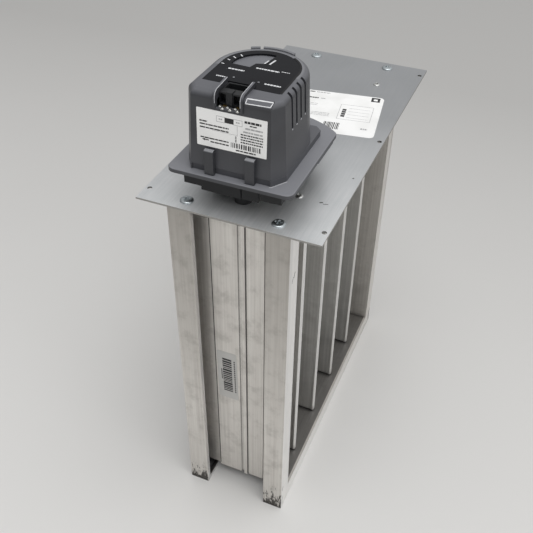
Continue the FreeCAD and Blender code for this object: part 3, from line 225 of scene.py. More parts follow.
# Cranks and link bar: punched steel strip, zinc plated, with a faint yellow cast and the
# soft mottle of the plating bath.
zinc, tree, shader = blank("zinc_plated_steel", Metallic=1.0)
place = add(tree, "ShaderNodeTexCoord").outputs["Object"]
bath = add(tree, "ShaderNodeTexNoise", {"Vector": place, "Scale": 120.0, "Detail": 5.0}).outputs[0]
cast = add(tree, "ShaderNodeMix", {0: bath, 6: linear("#b9b8b0"), 7: linear("#d8d7d2")}, data_type="RGBA")
gloss = add(tree, "ShaderNodeMapRange", {"Value": bath, "To Min": 0.2, "To Max": 0.42})
tree.links.new(cast.outputs[2], shader.inputs["Base Color"])
tree.links.new(gloss.outputs[0], shader.inputs["Roughness"])
dress(zinc, "crank_1", "crank_2", "crank_3", "crank_4", "link_bar", "bracket_screws", "gear_plate")

# Mounting plate: aluminium sheet with a satin rolled face and sheared edges. Rolling draws
# a faint grain along it, use leaves short pale scratches, and painted shade darkens the far end.
# The sheared edges are greyer, and painted shade darkens the walls of the holes.
satin, tree, shader = blank("rolled_aluminium_sheet", Metallic=0.7)
place = add(tree, "ShaderNodeTexCoord").outputs["Object"]
drawn = add(tree, "ShaderNodeMapping", {"Vector": place, "Scale": (700, 25, 700)}).outputs[0]
grain = add(tree, "ShaderNodeTexNoise", {"Vector": drawn, "Scale": 1.0, "Detail": 4.0,
                                         "Roughness": 0.6}).outputs[0]
cloud = add(tree, "ShaderNodeTexNoise", {"Vector": place, "Scale": 30.0, "Detail": 6.0,
                                         "Roughness": 0.6}).outputs[0]
slanting = add(tree, "ShaderNodeMapping", {"Vector": place, "Rotation": (0, 0, 0.7), "Scale": (900, 40, 40)})
hairs = add(tree, "ShaderNodeTexNoise", {"Vector": slanting.outputs[0], "Scale": 1.0, "Detail": 1.0})
scratch = add(tree, "ShaderNodeMapRange", {"Value": hairs.outputs[0], "From Min": 0.76, "From Max": 0.82,
                                           "To Max": 0.6}).outputs[0]
mixed = add(tree, "ShaderNodeMath", {0: grain, 1: cloud}, operation="ADD").outputs[0]
share = add(tree, "ShaderNodeMapRange", {"Value": mixed, "From Min": 0.7, "From Max": 1.3}).outputs[0]
tone = add(tree, "ShaderNodeMix", {0: share, 6: linear("#dcdfe0"), 7: linear("#ebeced")}, data_type="RGBA")
marked = add(tree, "ShaderNodeMix", {0: scratch, 6: tone.outputs[2], 7: linear("#e8e9ea")}, data_type="RGBA")
# Painted shade: the sheet is darker towards its far end.
away = add(tree, "ShaderNodeVectorMath", {0: place, 1: (-0.35, 1, 0)},
           operation="DOT_PRODUCT").outputs["Value"]
film = add(tree, "ShaderNodeMapRange", {"Value": away, "From Min": -0.17, "From Max": 0.02,
                                        "To Max": 0.75}).outputs[0]
far_shaded = add(tree, "ShaderNodeMix", {0: film, 6: marked.outputs[2], 7: linear("#86888b")}, data_type="RGBA")
normal = add(tree, "ShaderNodeTexCoord").outputs["Normal"]
upward = add(tree, "ShaderNodeSeparateXYZ", {"Vector": normal}).outputs["Z"]
edge = add(tree, "ShaderNodeMapRange", {"Value": upward, "From Min": 0.5, "From Max": 0.1,
                                        "To Max": 0.8}).outputs[0]
# Painted shade: side faces that ambient occlusion finds closed, the walls of the holes, are darkened.
open_share = add(tree, "ShaderNodeAmbientOcclusion", {"Distance": 0.0048}, samples=8).outputs["AO"]
hole_shade = add(tree, "ShaderNodeMapRange", {"Value": open_share, "From Min": 0.92, "From Max": 0.65}).outputs[0]
edge_grey_and_hole_shade = add(tree, "ShaderNodeMix", {0: hole_shade, 6: linear("#8b8882"), 7: linear("#1c1b1a")}, data_type="RGBA")
sheared = add(tree, "ShaderNodeMix", {0: edge, 6: far_shaded.outputs[2], 7: edge_grey_and_hole_shade.outputs[2]},
              data_type="RGBA").outputs[2]
dull = add(tree, "ShaderNodeMapRange", {"Value": cloud, "From Min": 0.3, "From Max": 0.7, "To Min": 0.44,
                                        "To Max": 0.54}).outputs[0]
relief = add(tree, "ShaderNodeBump", {"Height": grain, "Strength": 0.06, "Distance": 0.0003}).outputs[0]
tree.links.new(sheared, shader.inputs["Base Color"])
tree.links.new(dull, shader.inputs["Roughness"])
tree.links.new(relief, shader.inputs["Normal"])
dress(satin, "mounting_plate")


# Plate screws: four pan head machine screws with a cross recess, cold headed and zinc
# plated. They pass through the plate, the top member's lips and the corner keys.
def piece(name, points, faces, material, body, slot=None):
    """A new mesh from arrays of points and faces, in metres, with its faces turned outwards."""
    mesh = bpy.data.meshes.new(name)
    mesh.from_pydata(np.asarray(points, float).reshape(-1, 3).tolist(), [], faces)
    form = bmesh.new()
    form.from_mesh(mesh)
    bmesh.ops.recalc_face_normals(form, faces=form.faces)
    form.to_mesh(mesh)
    form.free()
    mesh.materials.append(material)
    made = bpy.data.objects.new(name, mesh)
    bpy.context.scene.collection.objects.link(made)
    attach(made, body)
    return made


def lathe(profile, steps):
    """Each profile point (r, z) runs once round the axis: x = r cos t, y = r sin t, for steps values of t."""
    turn = np.arange(steps) * 2 * math.pi / steps
    radius, height = np.asarray(profile, float).T
    return np.stack([np.outer(radius, np.cos(turn)), np.outer(radius, np.sin(turn)),
                     np.outer(height, np.ones(steps))], axis=-1)


def ring_faces(rows, columns, start=0):
    """Quads between neighbouring rings of a grid, and one many-sided face on the first and last ring."""
    cell = np.arange((rows - 1) * columns)
    row, column = cell // columns, cell % columns
    beside = (column + 1) % columns
    quads = np.stack([row * columns + column, (row + 1) * columns + column, (row + 1) * columns + beside,
                      row * columns + beside], axis=1) + start
    ends = np.arange(columns) + start
    return quads.tolist() + [ends.tolist(), (ends[::-1] + (rows - 1) * columns).tolist()]


def copies(form, places):
    """The ring grid repeated at each place, as one set of points and faces."""
    rows, columns = form.shape[:2]
    points = np.concatenate([form.reshape(-1, 3) + np.asarray(spot) for spot in places])
    faces = [face for number in range(len(places))
             for face in ring_faces(rows, columns, number * rows * columns)]
    return points, faces


def cross_recess(form, reach, width, depth, ease=0.0003):
    """Sink a grid by depth inside a cross. One arm is |x| < width / 2 and |y| < reach, and the other is the
    same with x and y changed over. The edges are eased, and the depth falls by 45 percent out to reach."""
    across = np.abs(form[..., 0])
    along = np.abs(form[..., 1])

    def inside(value, limit):
        """1 where the value is under the limit, 0 where it is over, in a straight ramp between."""
        return np.clip((limit - value) / ease + 0.5, 0, 1)

    arms = np.maximum(inside(across, width / 2) * inside(along, reach),
                      inside(along, width / 2) * inside(across, reach))
    taper = 1 - 0.45 * np.clip(np.hypot(across, along) / reach, 0, 1)
    sunk = form.copy()
    sunk[..., 2] -= arms * taper * depth * (form[..., 2] > 0.0005)
    return sunk


bright_zinc, tree, shader = blank("blue_bright_zinc_plated_steel", Metallic=1.0)
place = add(tree, "ShaderNodeTexCoord").outputs["Object"]
bath = add(tree, "ShaderNodeTexNoise", {"Vector": place, "Scale": 700.0, "Detail": 4.0}).outputs[0]
cast = add(tree, "ShaderNodeMix", {0: bath, 6: linear("#98a1a5"), 7: linear("#cfd4d6")}, data_type="RGBA")
gloss = add(tree, "ShaderNodeMapRange", {"Value": bath, "To Min": 0.25, "To Max": 0.45})
tree.links.new(cast.outputs[2], shader.inputs["Base Color"])
tree.links.new(gloss.outputs[0], shader.inputs["Roughness"])
axis_radius = 0.00005
screw_across, screw_along = 0.038, 0.145
head_height, head_radius, crown_radius, crown_drop = 0.0019, 0.0054, 0.0040, 0.00035
shank_radius, shank_end = 0.0024, -0.0090
plate_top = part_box("mounting_plate")[1].z
crown = [(r, head_height - crown_drop * (r / crown_radius) ** 2)
         for r in np.linspace(axis_radius, crown_radius, 27)]
rim = [(0.0046, 0.0013), (0.0051, 0.0009), (head_radius, 0.0004), (head_radius, 0.0)]
shank = [(shank_radius, -0.00002), (shank_radius, shank_end + 0.0004), (shank_radius - 0.0004, shank_end),
         (axis_radius, shank_end)]
head = cross_recess(lathe(crown + rim + shank, 72), reach=0.0027, width=0.0013, depth=0.0015)
spots = [(x * screw_across, y * screw_along, plate_top) for x in (-1, 1) for y in (-1, 1)]
screws = piece("plate_screw_heads", *copies(head, spots), bright_zinc, "frame", "zinc_steel")
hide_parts("plate_screws")

# Plate rivets: blind rivets of drawn aluminium, with a domed head and the hollow that the
# broken stem leaves in its middle.
rivet_across, rivet_along = 0.0388, 0.105
drawn_rivet, tree, shader = blank("drawn_aluminium_rivet", Metallic=1.0)
place = add(tree, "ShaderNodeTexCoord").outputs["Object"]
rubbed = add(tree, "ShaderNodeTexNoise", {"Vector": place, "Scale": 900.0, "Detail": 3.0}).outputs[0]
tone = add(tree, "ShaderNodeMix", {0: rubbed, 6: linear("#b9bab9"), 7: linear("#e2e2e0")}, data_type="RGBA")
gloss = add(tree, "ShaderNodeMapRange", {"Value": rubbed, "To Min": 0.2, "To Max": 0.45})
tree.links.new(tone.outputs[2], shader.inputs["Base Color"])
tree.links.new(gloss.outputs[0], shader.inputs["Roughness"])
rivet_radius, body_radius, body_end = 0.0032, 0.0016, -0.0041
stem = [(axis_radius, -0.0012), (0.0012, -0.0012), (0.0013, 0.0009), (0.0015, 0.0012)]
dome = [(0.0022, 0.0010), (0.0028, 0.0007), (rivet_radius, 0.0002), (rivet_radius, 0.0),
        (body_radius, -0.00002), (body_radius, body_end), (axis_radius, body_end)]
spots = [(x * rivet_across, y * rivet_along, plate_top) for x in (-1, 1) for y in (-1, 1)]
rivets = piece("plate_rivet_heads", *copies(lathe(stem + dome, 40), spots), drawn_rivet, "frame",
               "rivet_aluminium")
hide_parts("plate_rivets")


# Plate label: a white vinyl sticker with round corners, put on by hand a little askew.
# Its print is plain generic marks: bars, boxes and stripes, with no words.
def prism(outline, origin, right, up, thickness):
    """A flat outline lifted by thickness: point = origin + u right + v up, and the same plus thickness along
    the cross product of right and up. Returns its points and faces."""
    flat = np.asarray(outline, float)
    right, up = np.asarray(right, float), np.asarray(up, float)
    low = np.asarray(origin, float) + flat[:, :1] * right + flat[:, 1:] * up
    points = np.concatenate([low, low + thickness * np.cross(right, up)])
    count = len(flat)
    here = np.arange(count)
    sides = np.stack([here, (here + 1) % count, (here + 1) % count + count, here + count], axis=1)
    return points, sides.tolist() + [here[::-1].tolist(), (here + count).tolist()]


def gathered(parts):
    """Several sets of points and faces as one."""
    starts = np.cumsum([0] + [len(points) for points, _ in parts])
    faces = [[corner + int(start) for corner in face]
             for (_, found), start in zip(parts, starts) for face in found]
    return np.concatenate([points for points, _ in parts]), faces


def rounded(low_u, low_v, high_u, high_v, radius, steps=7):
    """A rectangle whose corners are quarter circles: corner centre + radius (cos t, sin t)."""
    turn = np.linspace(0, math.pi / 2, steps)
    centres = ((high_u - radius, high_v - radius), (low_u + radius, high_v - radius),
               (low_u + radius, low_v + radius), (high_u - radius, low_v + radius))
    return np.concatenate([np.stack([u + radius * np.cos(turn + quarter * math.pi / 2),
                                     v + radius * np.sin(turn + quarter * math.pi / 2)], axis=1)
                           for quarter, (u, v) in enumerate(centres)])


def bars(boxes):
    """Each row (low u, low v, high u, high v), in millimetres, as a rectangle's outline in metres."""
    return [np.array([(a, b), (c, b), (c, d), (a, d)]) * 0.001 for a, b, c, d in boxes]


def strokes(low_u, high_u, tops, height, seed, word=(1.5, 4.5)):
    """Lines of print drawn as short bars: bar lengths are even random numbers between the two word sizes."""
    chance = np.random.default_rng(seed)
    made = []
    for top in tops:
        start = low_u
        while start < high_u:
            stop = min(start + chance.uniform(*word), high_u)
            made.append((start, top - height, stop, top))
            start = stop + 0.4
    return made


def stripes(low_u, low_v, high_u, high_v, seed, upright=True, wide=(0.4, 1.2), apart=(0.35, 0.9)):
    """Stripes across a box, with widths and gaps that are even random numbers between two sizes."""
    chance = np.random.default_rng(seed)
    made = []
    start, end = (low_u, high_u) if upright else (low_v, high_v)
    while start < end:
        stop = min(start + chance.uniform(*wide), end)
        made.append((start, low_v, stop, high_v) if upright else (low_u, start, high_u, stop))
        start = stop + chance.uniform(*apart)
    return made


vinyl, tree, shader = blank("white_vinyl_label", Roughness=0.42)
place = add(tree, "ShaderNodeTexCoord").outputs["Object"]
handled = add(tree, "ShaderNodeTexNoise", {"Vector": place, "Scale": 45.0, "Detail": 5.0}).outputs[0]
share = add(tree, "ShaderNodeMapRange", {"Value": handled, "From Min": 0.45, "From Max": 0.8}).outputs[0]
white = add(tree, "ShaderNodeMix", {0: share, 6: linear("#f8f8f7"), 7: linear("#e8e8e6")}, data_type="RGBA")
tree.links.new(white.outputs[2], shader.inputs["Base Color"])


def ink(name, code, lighter):
    """Printed ink: fine noise breaks its edge-to-edge colour, as on a thermal print."""
    made, tree, shader = blank(name, Roughness=0.5)
    place = add(tree, "ShaderNodeTexCoord").outputs["Object"]
    broken = add(tree, "ShaderNodeTexNoise", {"Vector": place, "Scale": 1800.0, "Detail": 2.0}).outputs[0]
    share = add(tree, "ShaderNodeMapRange", {"Value": broken, "From Min": 0.5, "From Max": 0.75}).outputs[0]
    tone = add(tree, "ShaderNodeMix", {0: share, 6: linear(code), 7: linear(lighter)}, data_type="RGBA")
    tree.links.new(tone.outputs[2], shader.inputs["Base Color"])
    return made


def print_on(name, outlines, origin, right, up, colour):
    """All outlines as one piece of print on the flat face that starts at origin and runs right and up."""
    return piece(name, *gathered([prism(flat, origin, right, up, ink_skin) for flat in outlines]),
                 colour, "frame")


black_ink = ink("black_printed_ink", "#1a1a1c", "#3a3a3c")
grey_ink = ink("grey_printed_ink", "#a9a9aa", "#c4c4c5")
label_skin, ink_skin = 0.00012, 0.00004
right = np.array([0.98868, 0.15007, 0.0])
up = np.array([-0.15007, 0.98868, 0.0])
corner = np.array([-0.0350, -0.0125, plate_top])
label_width, label_depth, label_corner = 0.102, 0.0775, 0.0045
piece("plate_label", *prism(rounded(0, 0, label_width, label_depth, label_corner), corner, right, up,
                            label_skin), vinyl, "frame")
printed = corner + np.array([0, 0, label_skin])
dark = [(90.3, 67.6, 98.5, 76.0)] + stripes(55.0, 7.4, 69.2, 19.6, 3) + strokes(31.0, 36.0, (75.4,), 1.7, 4)
dark += strokes(32.7, 41.5, (63.6,), 2.0, 5, (1.4, 2.4))
dark += [(67.3, low, 70.9, low + 3.2) for low in (31.8, 35.8, 39.8, 43.8)]
pale = strokes(37.5, 50.5, (75.2,), 1.5, 6) + strokes(36, 43, (51.6, 48.8), 0.8, 7)
pale += strokes(40, 57, (35.2, 32.8, 30.4), 0.8, 8) + strokes(43.8, 48.4, (63.2,), 1.4, 9)
pale += strokes(88.6, 94.6, (15.0,), 2.6, 10, (1.0, 1.8))
pale += [(64.4, 27.0, 95.0, 27.4), (64.4, 55.4, 95.0, 55.8),
         (64.4, 27.4, 64.8, 55.4), (94.6, 27.4, 95.0, 55.4)]
pale += [(73.0, low, 92.5, low + 0.35) for low in (31.0, 37.0, 43.0, 49.0)]
print_on("plate_label_dark_print", bars(dark), printed, right, up, black_ink)
print_on("plate_label_grey_print", bars(pale), printed, right, up, grey_ink)
open_square = rounded(0.0925, 0.0696, 0.0963, 0.0732, 0.0008)
piece("plate_label_open_square", *prism(open_square, printed + [0, 0, ink_skin], right, up, ink_skin),
      vinyl, "frame")

# Stripe sticker on the near member: a thin grey polyester film with rounded corners, stuck on
# a little askew. A column of generic dark stripes and dots stands in for its bar code.
film, tree, shader = blank("grey_polyester_film", Roughness=0.35)
place = add(tree, "ShaderNodeTexCoord").outputs["Object"]
creased = add(tree, "ShaderNodeTexNoise", {"Vector": place, "Scale": 80.0, "Detail": 4.0}).outputs[0]
tone = add(tree, "ShaderNodeMix", {0: creased, 6: linear("#b4b3b0"), 7: linear("#c9c8c5")}, data_type="RGBA")
tree.links.new(tone.outputs[2], shader.inputs["Base Color"])
channel_face = -0.1379
sticker_width, sticker_height, sticker_corner = 0.0197, 0.0620, 0.0022
sticker = np.array([-0.0212, channel_face, 0.1275])
right, up = np.array([1.0, 0, 0.02]), np.array([-0.02, 0, 1.0])
piece("stripe_sticker", *prism(rounded(0, 0, sticker_width, sticker_height, sticker_corner), sticker,
                               right, up, label_skin), film, "frame")
marks = stripes(5.2, 9.8, 14.4, 53.4, 12, upright=False, wide=(1.0, 2.6), apart=(0.7, 1.0))
marks += [(16.6, low, 17.8, low + 1.9) for low in np.arange(10.0, 52.0, 2.9)] + [(3.6, 25.0, 4.4, 38.6)]
print_on("stripe_sticker_print", bars(marks), sticker - [0, label_skin, 0], right, up, black_ink)


# Seam on the near member: the die leaves a fine step along the left of the raised strip,
# and a thin dark line of painted shade follows it from the lower mitre to the upper one.
def ribbon(path, width, outward, thickness):
    """A flat strip along a path: each point is spread by width / 2 along the cross product of the path's
    direction and outward, and the strip is lifted by thickness along outward."""
    line = np.asarray(path, float)
    lift = np.broadcast_to(np.asarray(outward, float), line.shape)
    lift = lift / np.linalg.norm(lift, axis=1, keepdims=True)
    run = np.gradient(line, axis=0)
    side = np.cross(run, lift)
    side = side / np.linalg.norm(side, axis=1, keepdims=True) * width / 2
    raised = lift * thickness
    ring = np.stack([line - side, line + side, line + side + raised, line - side + raised], axis=1)
    return ring.reshape(-1, 3), ring_faces(len(line), 4)


# Dark line ink: painted shade along the seam, and the real nicks.
grime_and_shade_ink = ink("dark_grime_and_shade_line", "#2c2b2b", "#444342")
grime_and_shade_skin, highlight_skin = 0.00005, 0.00012
seam_x = -0.0237
# Painted shade: the dark seam line stands for the shade in the step.
seam = ribbon([(seam_x, channel_face, 0.0186), (seam_x, channel_face, 0.3516)], 0.0008, (0, -1, 0), grime_and_shade_skin)
piece("channel_seam_shade_line", *seam, grime_and_shade_ink, "frame")

# Nicks on the near member's right side and on the plate: short marks where another part
# knocked the bare metal, each as a thin dark fleck.
side_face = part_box("frame_near")[1].x
nicks = [ribbon([(side_face, y, z), (side_face, y - 0.0022, z - 0.0048)], wide, (1, 0, 0), grime_and_shade_skin)
         for y, z, wide in ((-0.1410, 0.3090, 0.0009), (-0.1446, 0.3062, 0.0006), (-0.1490, 0.0330, 0.0005))]
nicks += [ribbon([(x, y, plate_top), (x + along, y + 0.0012, plate_top)], wide, (0, 0, 1), grime_and_shade_skin)
          for x, y, along, wide in ((0.0562, -0.1071, 0.0024, 0.0012), (0.0594, -0.1079, 0.0038, 0.0006),
                                    (0.0690, -0.0650, 0.0010, 0.0011))]
piece("knock_marks", *gathered(nicks), grime_and_shade_ink, "frame")

# Actuator bracket and locating post: glass filled nylon, dyed black, moulded with a fine
# grain, on four feet that screws hold from below.
dress(moulded("black_nylon_bracket_moulding", "#141517", "#1f2022", 0.65), "actuator_bracket",
      "locating_post")

# Actuator base: a wide flange moulded in grey ABS with a sparked grain. It rests on the
# bracket and carries the cover, and its faces that look up are painted paler, as light from above.
dress(moulded("grey_abs_base_moulding", "#3f4044", "#4a4b4f", 0.45, "#7e7f84"), "actuator_base")

# Actuator cover: a D-shaped housing moulded in dark grey ABS, with vent slots on the right
# and a shallow skirt at its near foot. The rim's two tabs are paler. Painted highlights run along the
# edges round the slots and the notch, painted shade darkens the skirt, painted light from the flange
# pales the lower walls, and painted light from above pales the faces that look up.
cover_abs = moulded("dark_grey_abs_cover_moulding", "#36373b", "#3f4044", 0.42, "#5d5e63")
tree = cover_abs.node_tree
place = add(tree, "ShaderNodeSeparateXYZ", {"Vector": add(tree, "ShaderNodeTexCoord").outputs["Object"]})
height = place.outputs["Z"]
base_colour = tree.nodes["Principled BSDF"].inputs["Base Color"]
body = base_colour.links[0].from_socket
# Painted light: the walls are paler towards their foot, as light thrown up from the flange.
low = add(tree, "ShaderNodeMapRange", {"Value": height, "From Min": 0.412, "From Max": 0.385,
                                       "To Max": 0.55}).outputs[0]
with_painted_shading = add(tree, "ShaderNodeMix", {0: low, 6: body, 7: linear("#55565b")}, data_type="RGBA").outputs[2]
# Painted shade: the skirt at the foot of the walls is darker.
skirt_shade = add(tree, "ShaderNodeMapRange", {"Value": height, "From Min": 0.3745, "From Max": 0.3730,
                                         "To Max": 0.55}).outputs[0]
shaded = add(tree, "ShaderNodeMix", {0: skirt_shade, 6: with_painted_shading, 7: linear("#2b2c2f")}, data_type="RGBA").outputs[2]
tabs = add(tree, "ShaderNodeMapRange", {"Value": place.outputs["Y"], "From Min": -0.101, "From Max": -0.099,
                                        "To Max": 0.75}).outputs[0]
rim = add(tree, "ShaderNodeMapRange", {"Value": height, "From Min": 0.4466, "From Max": 0.4470,
                                       "To Max": tabs}).outputs[0]
tipped = add(tree, "ShaderNodeMix", {0: rim, 6: shaded, 7: linear("#7c7d81")}, data_type="RGBA").outputs[2]
tree.links.new(tipped, base_colour)
dress(cover_abs, "actuator_cover")
flange_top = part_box("actuator_cover")[0].z
cover_near, cover_half = -0.1462, 0.0393
draft = math.radians(2.8)
# Painted highlights: pale strips along the top edges of the notch's cheeks, at the lower ends of the vents
# and along the chamfer's foot on the flange.
highlight_abs, tree, shader = blank("painted_highlight_grey_abs_edge", Roughness=0.4)
place = add(tree, "ShaderNodeTexCoord").outputs["Object"]
highlight_mottle = add(tree, "ShaderNodeTexNoise", {"Vector": place, "Scale": 400.0, "Detail": 3.0}).outputs[0]
tone = add(tree, "ShaderNodeMix", {0: highlight_mottle, 6: linear("#8e8f93"), 7: linear("#d2d3d6")}, data_type="RGBA")
tree.links.new(tone.outputs[2], shader.inputs["Base Color"])
highlight_strips = []
bend_y, bend_z, bend_radius = -0.1396, 0.4442, 0.0052
turn = np.linspace(math.pi, math.pi / 2, 10)
outward = np.stack([np.cos(turn), np.sin(turn)], axis=1)
bend = np.array([bend_y, bend_z]) + bend_radius * outward
climb = np.concatenate([[(-0.1448, 0.4405)], bend, [(-0.1236, 0.4503)]])
lift = np.concatenate([[(0, -1, 0)], np.column_stack([0 * turn, outward]), [(0, 0, 1)]])
for cheek in (-0.0110, 0.0082):
    highlight_strips.append(ribbon(np.column_stack([np.full(len(climb), cheek), climb]), 0.0005, lift, 0.0001))
vents, first_vent, vent_pitch, vent_foot, vent_half = 4, -0.1215, 0.0084, 0.4196, 0.0009
side = cover_half - math.tan(draft) * (0.4198 - flange_top)
for number in range(vents):
    slot = first_vent + vent_pitch * number
    lower_end = [(side, slot - vent_half, vent_foot), (side, slot, vent_foot - 0.0002),
                 (side, slot + vent_half, vent_foot)]
    highlight_strips.append(ribbon(lower_end, 0.0007, (math.cos(draft), 0, math.sin(draft)), highlight_skin))
foot = [(0.0306, -0.1466, flange_top), (0.0322, -0.1464, flange_top), (0.0397, -0.1349, flange_top)]
highlight_strips.append(ribbon(foot, 0.0008, (0, 0, 1), highlight_skin))
piece("painted_highlight_cover_edges", *gathered(highlight_strips), highlight_abs, "frame")

# Raised field on the near shoulder: part of the cover's own moulding, about 18 mm wide. Pale
# strips of painted highlight run along its four edges.
field_run, field_rise = 5.8, 3.2
field_slope = np.array([field_run, field_rise]) / np.hypot(field_run, field_rise)
field_foot = np.array([-0.1440, 0.4444])
corners = [(x, *(field_foot + rise * field_slope))
           for x, rise in ((0.0117, 0.0001), (0.0115, 0.0042), (0.0302, 0.0051), (0.0295, 0.0010))]
slope = (0, -field_slope[1], field_slope[0])
field_highlight, tree, shader = blank("painted_highlight_field_edge", Roughness=0.25)
place = add(tree, "ShaderNodeTexCoord").outputs["Object"]
even = add(tree, "ShaderNodeTexNoise", {"Vector": place, "Scale": 250.0}).outputs[0]
tone = add(tree, "ShaderNodeMix", {0: even, 6: linear("#c9cacd"), 7: linear("#f4f4f5")}, data_type="RGBA")
tree.links.new(tone.outputs[2], shader.inputs["Base Color"])
edges = [ribbon([corners[a], corners[b]], width, slope, highlight_skin)
         for a, b, width in ((1, 2, 0.0009), (0, 3, 0.0006), (0, 1, 0.0006), (3, 2, 0.0006))]
piece("raised_field_highlight_edges", *gathered(edges), field_highlight, "frame")

# Latches: two snap clips moulded in dark grey ABS, which hold the cover to the base at its
# near face. Their crowns are painted pale, as light from above.
dress(moulded("dark_grey_abs_latch_moulding", "#35363a", "#404145", 0.45, "#8a8b8f"), "cover_latches")

# Inside the actuator: gears moulded in natural acetal, a turned brass pinion on the motor,
# the motor's can in plated steel, and a circuit board of glass laminate with green resist.
dress(moulded("natural_acetal_gear_moulding", "#dedbcf", "#ece9df", 0.35), "output_hub", "idler_gear")
brass, tree, shader = blank("machined_brass", Metallic=1.0, Roughness=0.3)
place = add(tree, "ShaderNodeTexCoord").outputs["Object"]
drawn = add(tree, "ShaderNodeMapping", {"Vector": place, "Scale": (90, 90, 1500)}).outputs[0]
turned = add(tree, "ShaderNodeTexNoise", {"Vector": drawn, "Scale": 1.0, "Detail": 3.0}).outputs[0]
tone = add(tree, "ShaderNodeMix", {0: turned, 6: linear("#a98b4e"), 7: linear("#c9ad6c")}, data_type="RGBA")
tree.links.new(tone.outputs[2], shader.inputs["Base Color"])
dress(brass, "motor_pinion")
dress(ground_steel, "motor")
laminate, tree, shader = blank("coated_glass_laminate", Roughness=0.3)
place = add(tree, "ShaderNodeTexCoord").outputs["Object"]
weave = add(tree, "ShaderNodeTexChecker", {"Vector": place, "Scale": 700.0, "Color1": linear("#14552c"),
                                           "Color2": linear("#196032")})
tree.links.new(weave.outputs[0], shader.inputs["Base Color"])
dress(laminate, "circuit_board")

# Terminal block: black nylon with two wire ports behind the sill, nickel plated clamp screws
# with driver slots, and the ends of two brass contacts.
dress(moulded("black_nylon_terminal_moulding", "#141517", "#222326", 0.5), "terminal_block")
nickel, tree, shader = blank("nickel_plated_steel", Metallic=1.0)
place = add(tree, "ShaderNodeTexCoord").outputs["Object"]
bath = add(tree, "ShaderNodeTexNoise", {"Vector": place, "Scale": 900.0, "Detail": 3.0}).outputs[0]
tone = add(tree, "ShaderNodeMix", {0: bath, 6: linear("#9b9b98"), 7: linear("#e6e6e3")}, data_type="RGBA")
gloss = add(tree, "ShaderNodeMapRange", {"Value": bath, "To Min": 0.18, "To Max": 0.4})
tree.links.new(tone.outputs[2], shader.inputs["Base Color"])
tree.links.new(gloss.outputs[0], shader.inputs["Roughness"])
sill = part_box("terminal_screws")[0].z
clamp_height, clamp_radius, dome_radius, dome_drop, slot_depth = 0.0015, 0.0015, 0.0014, 0.0006, 0.0006
dome = [(r, clamp_height - dome_drop * (r / dome_radius) ** 2)
        for r in np.linspace(axis_radius, dome_radius, 11)]
clamp = lathe(dome + [(clamp_radius, 0.0006), (clamp_radius, 0.0)], 32)
in_slot = (np.abs(clamp[..., 0] + clamp[..., 1]) < 0.0004) * (clamp[..., 2] > 0.0007)
clamp[..., 2] -= slot_depth * in_slot
clamp_x, clamp_y, clamp_pitch, row_step = -0.0089, -0.1409, 0.0029, 0.0022
spots = [(clamp_x + clamp_pitch * number, clamp_y - row_step * (number % 2), sill) for number in range(6)]
clamps = piece("terminal_clamp_screws", *copies(clamp, spots), nickel, "frame", "zinc_steel")
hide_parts("terminal_screws")
ends = [ribbon([(x - 0.0014, -0.1393, sill), (x + 0.0014, -0.1391, sill)], 0.0012, (0, 0, 1), 0.0011)
        for x in (-0.0058, 0.0038)]
piece("terminal_contacts", *gathered(ends), brass, "frame")

# Top panel and dial disc: a near black moulded panel, and a mid grey disc with a white
# pointer line that turns with the shaft. Light marks stand in for the printed words.
black_panel = moulded("black_panel_moulding", "#0c0d12", "#131419", 0.5)
black_panel.node_tree.nodes["Principled BSDF"].inputs["Specular IOR Level"].default_value = 0.2
dress(black_panel, "top_panel")
dress(moulded("grey_dial_disc_moulding", "#696a6f", "#737479", 0.5), "indicator_disc")
white_ink = ink("white_printed_ink", "#dfe0e2", "#c3c4c8")
right, up = np.array([1.0, 0, 0]), np.array([0, 1.0, 0])
panel_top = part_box("top_panel")[1].z
panel = np.array([0.0, 0.0, panel_top])


def slanted(from_u, from_v, to_u, to_v, width):
    """A bar of the given width along the line between two points, in millimetres, as an outline in metres."""
    along = np.array([to_u - from_u, to_v - from_v])
    across = np.array([-along[1], along[0]]) / np.hypot(*along) * width / 2
    ends = np.array([(from_u, from_v), (to_u, to_v)])
    return np.array([ends[0] - across, ends[1] - across, ends[1] + across, ends[0] + across]) * 0.001


ticks = [(-28.2, -97.8, -25.8, -98.0), (-26.9, -89.8, -24.5, -90.9), (-24.9, -84.0, -22.1, -86.0),
         (-21.2, -78.9, -18.7, -81.4)]
marks = [slanted(*ends, 0.9) for ends in ticks]
words = strokes(-19.9, -7.3, (-102.7,), 1.7, 21, (1.2, 2.6))
words += strokes(-1.6, 16.4, (-94.5,), 1.7, 22, (1.2, 3.0))
words += strokes(17.4, 23.8, (-93.6,), 0.8, 23, (1.0, 2.0))
words += strokes(13.8, 26.0, (-115.6,), 1.7, 24, (1.2, 2.6))
words += strokes(-22.8, -15.0, (-116.8,), 1.5, 25, (1.0, 1.8))
marks += bars(words) + [slanted(4.9, -86.4, 6.3, -78.0, 1.3)]
print_on("panel_marks", marks, panel, right, up, white_ink)
disc = np.array([0.0, 0.0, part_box("indicator_disc")[1].z])
pointer = slanted(-0.4, -86.4, 0.9, -77.6, 1.4)
piece("pointer_line", *prism(pointer, disc, right, up, 0.0002), white_ink, "blade_body_1")
lens_radius, lens_height = 0.0008, 0.0003
turn = np.arange(20) * math.pi / 10
circle = lens_radius * np.stack([np.cos(turn), np.sin(turn)], axis=1)
lenses = [prism(circle, panel + np.array(spot), right, up, lens_height)
          for spot in ((0.0092, -0.1162, 0), (-0.0099, -0.1159, 0))]
piece("panel_lamp_lenses", *gathered(lenses), moulded("smoked_lens_moulding", "#77787c", "#8f9094", 0.25),
      "frame")

